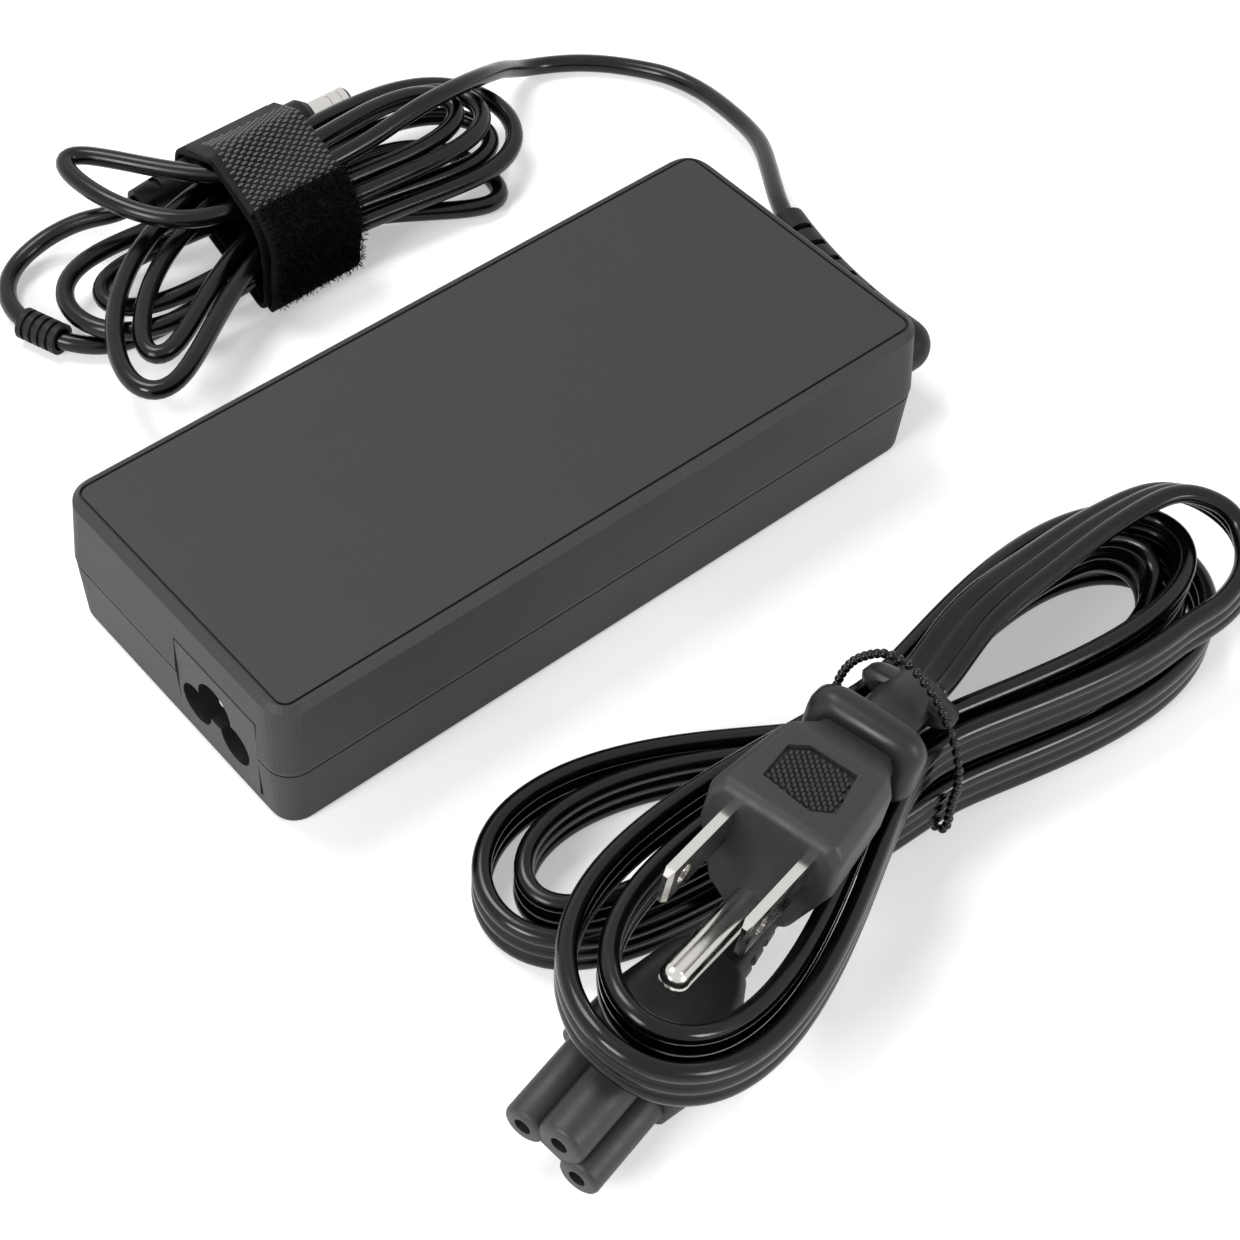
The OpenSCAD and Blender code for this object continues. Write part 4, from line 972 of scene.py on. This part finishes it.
class ADAPTER_OT_strap(bpy.types.Operator):
    """Wrap the hook-and-loop strap round the output cord's hank"""
    bl_idname = "adapter.strap"
    bl_label = "Strap"

    def execute(self, context):
        trim = settings()[1]
        t = trim.strap_thickness
        x0, x1 = STRAP_X
        # Middles of the first and of the second layer, off the strap's inner face
        first, second = t / 2, 1.5 * t
        around = run_length(strap_outline(first))[-1]
        edge = run_to_tab(second)
        belt = cloth("strap_band", strap_run(first, 0, around * 0.9995), x0, x1, t * 0.94, 0.3, "tape")
        length = run_length(strap_outline(second))[-1] * OVERLAP
        over = cloth("strap_overlap", strap_run(second, edge, length), x0 + 1.0, x1, t, 0.3, "tape", bowed)
        line = strap_run(second, edge + 0.4, -TAB_LENGTH)
        tab = cloth("strap_hook_tab", line, x0 + 0.4, x1 - 0.2, t, 0.35, "hook_weave", curled)
        spots = points_with_ways("hook_points", *hook_spots(line, x0, x1 - x0, trim.hook_pitch, t / 2))
        hooks = grow_tree("strap_hooks", spots, stud_tree(), {
            "Foot radius": 0.3 * MM, "Top radius": 0.2 * MM, "Height": 0.2 * MM, "Sides": 8, "Stretch": 2.1,
            "Material": finish("hooks")})
        # No pile under the strap, where its own weight presses the pile flat
        front, back, skin = 21.0, 9.0, 0.05
        base = band("pile_base", strap_run(second, edge, front), x0 + 2.4, x1 + 0.2, skin,
                    lambda u, s: bowed(u, s) + t / 2)
        behind = around + edge - TAB_LENGTH - back - 5
        under = band("pile_under", strap_run(t, behind, back), x0 + 1.4, x1, skin)
        pile = grow_tree("strap_pile", join("pile_base", [base, under]), pile_tree(), {
            "Density": trim.pile_density / (MM * MM), "Length": trim.pile_length * MM, "Radius": 0.055 * MM,
            "Seed": 7, "Material": finish("pile")})
        for piece, slot in ((belt, "strap_fabric"), (over, "strap_fabric"), (pile, "strap_fabric"),
                            (tab, "strap_hooks"), (hooks, "strap_hooks")):
            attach(piece, ADAPTER)
        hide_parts("strap_loop")
        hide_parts("strap_tab")
        return {"FINISHED"}


# ---------- strain relief of the output cord ----------

class ADAPTER_OT_output_boot(bpy.types.Operator):
    """Mould the right-angle strain relief with its slotted boot"""
    bl_idname = "adapter.output_boot"
    bl_label = "Strain relief"

    def execute(self, context):
        head_steps, steps, slots = 9, 40, 11

        def place(t):
            return (1 - t) ** 2 * ELBOW + 2 * t * (1 - t) * BOOT_BEND + t * t * BOOT_TIP

        def way(t):
            return ((1 - t) * (BOOT_BEND - ELBOW) + t * (BOOT_TIP - BOOT_BEND)).normalized()

        def radius(t):
            return BOOT_WIDE - (BOOT_WIDE - BOOT_NARROW) * t

        def ring(p, d, r):
            side, up = across(d)
            return [p + side * x + up * y for x, y in circle(r, 24)]

        # Round head of the elbow, then the tapering boot
        rings = []
        for k in range(1, head_steps):
            a = math.radians(90 * k / head_steps)
            rings.append(ring(ELBOW - way(0) * BOOT_WIDE * math.cos(a), way(0), BOOT_WIDE * math.sin(a)))
        rings += [ring(place(k / steps), way(k / steps), radius(k / steps)) for k in range(steps + 1)]
        rings.append(ring(BOOT_TIP + way(1) * 0.3, way(1), BOOT_NARROW - 0.5))
        boot = loft("output_boot", rings)
        # Slots in turn at the boot's sides and at its top and bottom
        cutters = []
        for k in range(slots):
            t = 0.24 + 0.68 * k / (slots - 1)
            p, d, r = place(t), way(t), radius(t)
            long = r * 0.55
            if k % 2 == 0:
                half, out = (0.7, 1.3, long), across(d)[0]
            else:
                half, out = (0.7, long, 1.3), Vector((0, 0, 1))
            turn = Matrix.Rotation(math.atan2(d.y, d.x), 4, "Z")
            for sign in (-1, 1):
                cutter = box_cutter([-v for v in half], half)
                cutters.append(move_into(cutter, Matrix.Translation(p + out * sign * (r - 0.2)) @ turn))
        combine(boot, cutters)
        neck = [[Vector((x, ELBOW.y + y, ELBOW.z + z)) for y, z in circle(BOOT_WIDE, 32)]
                for x in (BODY_LENGTH / 2 - 5.5, ELBOW.x - 0.3)]
        piece = join("output_boot", [boot, loft("neck", neck)])
        smooth_by_angle(piece, 40)
        paint(piece, finish("boot"))
        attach(piece, ADAPTER)
        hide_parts("dc_strain_relief")
        return {"FINISHED"}


# ---------- wall plug ----------

def plug_ring(y, half, top, bottom, foot):
    """Outline of the wall plug across its axis: flat top, full sides, drawn in to the earth pin."""
    right = [(foot * 0.6, bottom + 0.6), (foot + 1.5, bottom + 3.2), (half, -2.5), (half, top - 2.2),
             (half * 0.82, top)]
    left = [(-x, z) for x, z in reversed(right)]
    return [(x, y, z) for x, z in left + [(0, bottom)] + right + [(0, top)]]


GRIP_CORNERS = [(5.4, -5.0), (5.8, -12.2), (3.3, -14.3), (-4.5, -14.2), (-6.0, -6.0), (-2.8, -3.9)]
GRIP_TOP = 6.65


class ADAPTER_OT_wall_plug(bpy.types.Operator):
    """Mould the wall plug, its grip and its neck"""
    bl_idname = "adapter.wall_plug"
    bl_label = "Wall plug"

    def execute(self, context):
        trim = settings()[1]
        place = placed(WALL_PLUG_AT, WALL_PLUG_TURN)
        shell = loft("wall_plug_shell", [list(reversed(ring)) for ring in reversed([
            plug_ring(0, 10.2, 5.4, -15.4, 5), plug_ring(-1.2, 10.9, 6.6, -15.6, 5.2),
            plug_ring(-16.5, 9.4, 6.9, -10, 4), plug_ring(-22, 6.6, 4.6, -6.6, 4),
            plug_ring(-24, 6.4, 4.4, -6, 4)])])
        bevel(shell, 0.6, 3, 22)

        def pad(name, low, high):
            """A flat solid in the grip's outline between two depths below its top."""
            outline = list(reversed(GRIP_CORNERS))
            return loft(name, [[(x, y, GRIP_TOP - k) for x, y in outline] for k in (low, high)], smooth=False)

        combine(shell, [pad("pad", 0.6, -3)])
        smooth_by_angle(shell, 38)
        paint(move_into(shell, place), finish("vinyl"))

        points, pitch = [], trim.grip_pitch
        for i in range(-12, 13):
            for j in range(-16, 17):
                x, y = i * pitch + (pitch / 2 if j % 2 else 0), -9.2 + j * pitch * 0.5
                if inside(GRIP_CORNERS, x, y, 0.5):
                    points.append(place @ Vector((x, y, GRIP_TOP - 0.5)))
        up = place.to_3x3() @ Vector((0, 0, 1))
        spots = points_with_ways("grip_points", points, [up] * len(points))
        # The studs take the darkened grip vinyl: painted shade in the sunk grip
        grip = grow_tree("wall_plug_grip", spots, stud_tree(), {
            "Foot radius": 0.5 * MM, "Top radius": 0.25 * MM, "Height": 0.45 * MM, "Sides": 8, "Stretch": 1.0,
            "Material": finish("grip")})
        # A thin sheet of the darkened grip vinyl on the sunk floor: painted shade in the recess
        shade_sheet = move_into(pad("grip_floor", 0.7, 0.56), place)
        grip = paint(join("wall_plug_grip", [grip, shade_sheet]), finish("grip"))

        neck = loft("neck", ovals([
            (-28.2, 5.4, 4.1), (-30, 5.2, 3.9), (-33, 4.6, 3.6), (-37, 4.4, 3.4), (-40, 4.6, 2.9),
            (-43, 4.6, 2.4)]))
        wings = loft("wings", ovals([
            (-38, 6.4, 2.0), (-38.6, 7.4, 2.4), (-39.6, 7.9, 2.5), (-41.4, 7.7, 2.2), (-42.4, 7.2, 1.8),
            (-42.8, 6.4, 1.4)]))
        collar = loft("collar", [
            [(x, y, 0.9 - z) for x, z in rounded_plan(2 * a, 2 * b, 4.2)]
            for y, a, b in (
                (-28.4, 7.4, 4.9), (-27.9, 8.7, 6.0), (-26.9, 9.4, 6.6), (-25.4, 9.4, 6.6), (-24.2, 9.1, 6.4),
                (-23.3, 8.2, 5.6), (-22.9, 6.8, 4.6))])
        piece = join("wall_plug_neck", [neck, collar, wings])
        smooth_by_angle(piece, 45)
        paint(move_into(piece, place), finish("neck"))
        for part, slot in ((shell, "plug_plastic"), (grip, "plug_plastic"), (piece, "plug_neck_rubber")):
            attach(part, MAINS)
        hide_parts("wall_plug_body")
        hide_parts("wall_plug_strain_relief")
        return {"FINISHED"}


def inside(corners, x, y, margin):
    """Whether a point lies inside a convex outline, given clockwise, by a margin."""
    for (ax, ay), (bx, by) in zip(corners, corners[1:] + corners[:1]):
        side = (by - ay) * (x - ax) - (bx - ax) * (y - ay)
        if side / math.hypot(bx - ax, by - ay) < margin:
            return False
    return True


# ---------- connector ----------

class ADAPTER_OT_connector(bpy.types.Operator):
    """Mould the three-lobed connector and its strain relief"""
    bl_idname = "adapter.connector"
    bl_label = "Connector"

    def execute(self, context):
        place = placed(CONNECTOR_AT, CONNECTOR_TURN)
        nose, lobe, earth_lobe, pitch, rise, hole = 15.5, 3.25, 3.75, 5.0, 4.0, 1.35
        centres = [(-pitch, 0, lobe), (pitch, 0, lobe), (0, rise, earth_lobe)]
        parts = []
        for x, z, r in centres:
            rows = [(-nose - 1, r), (-0.7, r), (-0.25, r - 0.2), (0, r - 0.6)]
            parts.append(loft("lobe", [
                [(x + q[0] * k / r, y, z - q[1] * k / r) for q in circle(r, 32)] for y, k in rows]))
        parts.append(loft("bridge", [
            [(x, y, z) for x, z in ((-pitch / 2, 0), (-pitch / 2, 3), (pitch / 2, 3), (pitch / 2, 0))]
            for y in (-nose - 1, -0.3)], smooth=False))
        rows = [(-38, 5.2, 4.4, 0.4), (-34, 7, 5.4, 0.6), (-24, 9, 6.3, 1.2), (-nose, 9.4, 6.6, 1.6)]
        wedge = loft("wedge", [
            [(x, y, -z + lift) for x, z in rounded_plan(2 * a, 2 * b, 2.6)] for y, a, b, lift in rows])
        body, *others = parts + [bevel(wedge, 0.5, 3, 40)]
        for other in others:
            combine(body, [other], "UNION")
        combine(body, [round_cutter((x, 1, z), (0, -1, 0), 13, hole, 24) for x, z, _ in centres])
        body.name = "connector_shell"
        smooth_by_angle(body, 38)
        paint(move_into(body, place), finish("vinyl"))
        rows = [(-52, 3.2, 2.2), (-48, 3.9, 2.8), (-44, 4.4, 3.2), (-41, 4.8, 3.7), (-37.8, 5, 4)]
        neck = loft("connector_neck", ovals(rows, 0.4, -1))
        combine(neck, [
            box_cutter((side * 5.4 - 1.9, -49.6 + 3.6 * k, -3), (side * 5.4 + 1.9, -48.2 + 3.6 * k, 4))
            for k in range(3) for side in (-1, 1)])
        smooth_by_angle(neck, 40)
        paint(move_into(neck, place), finish("neck"))
        for part, slot in ((body, "plug_plastic"), (neck, "plug_neck_rubber")):
            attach(part, MAINS)
        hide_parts("connector_body")
        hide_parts("connector_strain_relief")
        return {"FINISHED"}


def rounded_plan(length, width, radius, steps=8):
    """A box with round corners in plan, anticlockwise."""
    out = []
    for q in range(4):
        for s in range(steps + 1):
            a = math.radians(90 * (q + s / steps))
            out.append(((1 if q in (0, 3) else -1) * (length / 2 - radius) + radius * math.cos(a),
                        (1 if q < 2 else -1) * (width / 2 - radius) + radius * math.sin(a)))
    return out


# ---------- bead tie ----------

class ADAPTER_OT_ball_chain(bpy.types.Operator):
    """Thread the ball-chain tie round the mains cord's hank"""
    bl_idname = "adapter.ball_chain"
    bl_label = "Ball-chain tie"

    def execute(self, context):
        trim = settings()[1]
        loop = spline([(TIE_X, y, z) for y, z in TIE_LOOP], 8)
        links = [(i, i + 1) for i in range(len(loop) - 1)]
        base = new_object("tie_path", new_mesh("tie_path", loop, links))
        chain = grow_tree("ball_chain", base, ball_chain_tree(), {
            "Beads": trim.beads, "Bead radius": trim.bead / 2 * MM, "Link radius": 0.3 * MM,
            "Material": finish("bead")})
        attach(chain, MAINS)
        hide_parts("bead_tie")
        return {"FINISHED"}


# ---------- CAD nodes that stay ----------

NODE_FINISHES = {
    "upper_housing": "abs", "lower_housing": "abs", "inlet_housing": "nylon", "inlet_live_pin": "nickel",
    "inlet_neutral_pin": "nickel", "inlet_earth_pin": "nickel", "circuit_board": "board",
    "insulation_sheet": "sheet", "heat_spreader": "aluminium", "input_fuse": "fuse", "x_capacitor": "film",
    "common_mode_choke": "choke", "bridge_rectifier": "black_part", "bulk_capacitor": "sleeve",
    "transformer_core": "ferrite", "transformer_winding": "winding", "transistor_heat_sink": "aluminium",
    "output_capacitors": "sleeve", "optocoupler": "white_part", "dc_output_wires": "red_wire",
    "cord_sleeve": "boot", "dc_plug_boot": "boot", "dc_plug_handle": "boot", "dc_plug_barrel": "nickel",
    "dc_plug_insulator": "hole", "dc_plug_contact": "nickel", "live_blade": "nickel",
    "neutral_blade": "nickel", "earth_pin": "nickel", "connector_contacts": "brass",
}


class ADAPTER_OT_finish_nodes(bpy.types.Operator):
    """Give every solid that stays its material"""
    bl_idname = "adapter.finish_nodes"
    bl_label = "Finishes of the solids"

    def execute(self, context):
        for node, look in NODE_FINISHES.items():
            paint(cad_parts[node], finish(look))
        return {"FINISHED"}


# ---------- stage ----------

class ADAPTER_OT_stage(bpy.types.Operator):
    """Set up the floor, the light and the camera"""
    bl_idname = "adapter.stage"
    bl_label = "Stage"

    def execute(self, context):
        stage = context.scene.adapter_stage
        add_floor(stage)
        add_lights(stage)
        add_camera(stage)
        return {"FINISHED"}


def seen_rays(tree):
    """1 for rays from the camera and those that metal and gloss send on, 0 for rays that light the object."""
    way = add(tree, "ShaderNodeLightPath").outputs
    bright = add(tree, "ShaderNodeMath", {
        0: way["Is Glossy Ray"], 1: way["Is Transmission Ray"]}, operation="MAXIMUM")
    return add(tree, "ShaderNodeMath", {0: way["Is Camera Ray"], 1: bright}, operation="MAXIMUM")


def add_floor(stage):
    """A plain pale floor."""
    half = 3.0
    corners = [(-half, -half, 0), (half, -half, 0), (half, half, 0), (-half, half, 0)]
    mesh = bpy.data.meshes.new("floor")
    mesh.from_pydata(corners, [], [(0, 1, 2, 3)])
    floor = new_object("floor", mesh)
    floor.location.z = -0.0002
    tone = "#F4F4F4" if stage.backdrop == "PALE" else "#C8C8C8"
    material, tree, shader = new_material("floor_paper", hex_rgb(tone), 0.9)
    # A white floor in the picture: brightened for the camera and in reflections only, and more so
    # where the lamps fade
    spot = add(tree, "ShaderNodeNewGeometry")
    away = add(tree, "ShaderNodeVectorMath", {0: spot}, operation="LENGTH")
    fade = add(tree, "ShaderNodeMapRange", {
        "Value": away.outputs["Value"], "From Min": 0.3, "From Max": 1.3, "To Min": 0.42, "To Max": 0.85})
    glow = add(tree, "ShaderNodeEmission", {"Color": (1, 1, 1, 1), "Strength": fade})
    both = add(tree, "ShaderNodeAddShader", {0: shader, 1: glow})
    pick = add(tree, "ShaderNodeMixShader", {0: seen_rays(tree), 1: shader, 2: both})
    tree.links.new(pick.outputs[0], tree.nodes["Material Output"].inputs["Surface"])
    mesh.materials.append(material)


def add_lights(stage):
    """An even sky and three soft lamps."""
    world = bpy.data.worlds.new("studio")
    world.use_nodes = True
    tree = world.node_tree
    level = add(tree, "ShaderNodeMapRange", {"Value": seen_rays(tree), "To Min": 0.22, "To Max": 1.0})
    sky = tree.nodes["Background"].inputs
    sky["Color"].default_value = (1, 1, 1, 1)
    tree.links.new(level.outputs[0], sky["Strength"])
    bpy.context.scene.world = world
    lamps = [
        ("left_softbox", (-0.85, -0.1, 0.5), 0.35, 5.8), ("front_softbox", (0.3, -0.9, 0.45), 0.3, 3.9),
        ("top_softbox", (-0.1, 0.45, 0.95), 0.4, 5.0),
    ]
    for name, at, size, power in lamps:
        light = bpy.data.lights.new(name, "AREA")
        light.shape = "SQUARE"
        light.size = size
        light.energy = power * stage.light
        lamp = new_object(name, light)
        lamp.location = at
        lamp.rotation_euler = (-Vector(at)).to_track_quat("-Z", "Y").to_euler()


def add_camera(stage):
    """The camera and the view's colours."""
    scene = bpy.context.scene
    camera = bpy.data.cameras.new("camera")
    camera.lens = stage.lens
    camera.sensor_width = 36
    camera.shift_x = stage.shift
    camera.clip_start = 0.01
    view = new_object("camera", camera)
    # The camera's right, up and back, and its place
    turn = Matrix(((0.7835, -0.6214, -0.0026), (0.4792, 0.6015, 0.6392), (-0.3956, -0.5021, 0.769)))
    view.matrix_world = Matrix.Translation((-0.1822, -0.21619, 0.31389)) @ turn.transposed().to_4x4()
    scene.camera = view
    scene.view_settings.view_transform = "Standard"


# ---------- add-on ----------

class ADAPTER_PT_panel(bpy.types.Panel):
    """Buttons for the adapter's pieces"""
    bl_idname = "ADAPTER_PT_panel"
    bl_label = "Power adapter"
    bl_space_type = "VIEW_3D"
    bl_region_type = "UI"
    bl_category = "Adapter"

    def draw(self, context):
        for step in STEPS:
            self.layout.operator(step.bl_idname)


GROUPS = (CordSizes, TrimSizes, Finishes, Stage)
STEPS = (
    ADAPTER_OT_stage, ADAPTER_OT_finish_nodes, ADAPTER_OT_strap, ADAPTER_OT_output_boot,
    ADAPTER_OT_output_cord, ADAPTER_OT_wall_plug, ADAPTER_OT_connector, ADAPTER_OT_ball_chain,
    ADAPTER_OT_mains_cord,
)


def register():
    """Register the settings, the operators and the panel."""
    for kind in GROUPS + STEPS + (ADAPTER_PT_panel,):
        bpy.utils.register_class(kind)
    scene = bpy.types.Scene
    scene.adapter_cords = PointerProperty(type=CordSizes)
    scene.adapter_trim = PointerProperty(type=TrimSizes)
    scene.adapter_finishes = PointerProperty(type=Finishes)
    scene.adapter_stage = PointerProperty(type=Stage)


def unregister():
    """Take them away again."""
    scene = bpy.types.Scene
    del scene.adapter_cords, scene.adapter_trim, scene.adapter_finishes, scene.adapter_stage
    for kind in reversed(GROUPS + STEPS + (ADAPTER_PT_panel,)):
        bpy.utils.unregister_class(kind)


def main():
    """Make every piece in order."""
    register()
    for step in STEPS:
        area, name = step.bl_idname.split(".")
        getattr(getattr(bpy.ops, area), name)()


if __name__ == "__main__":
    main()
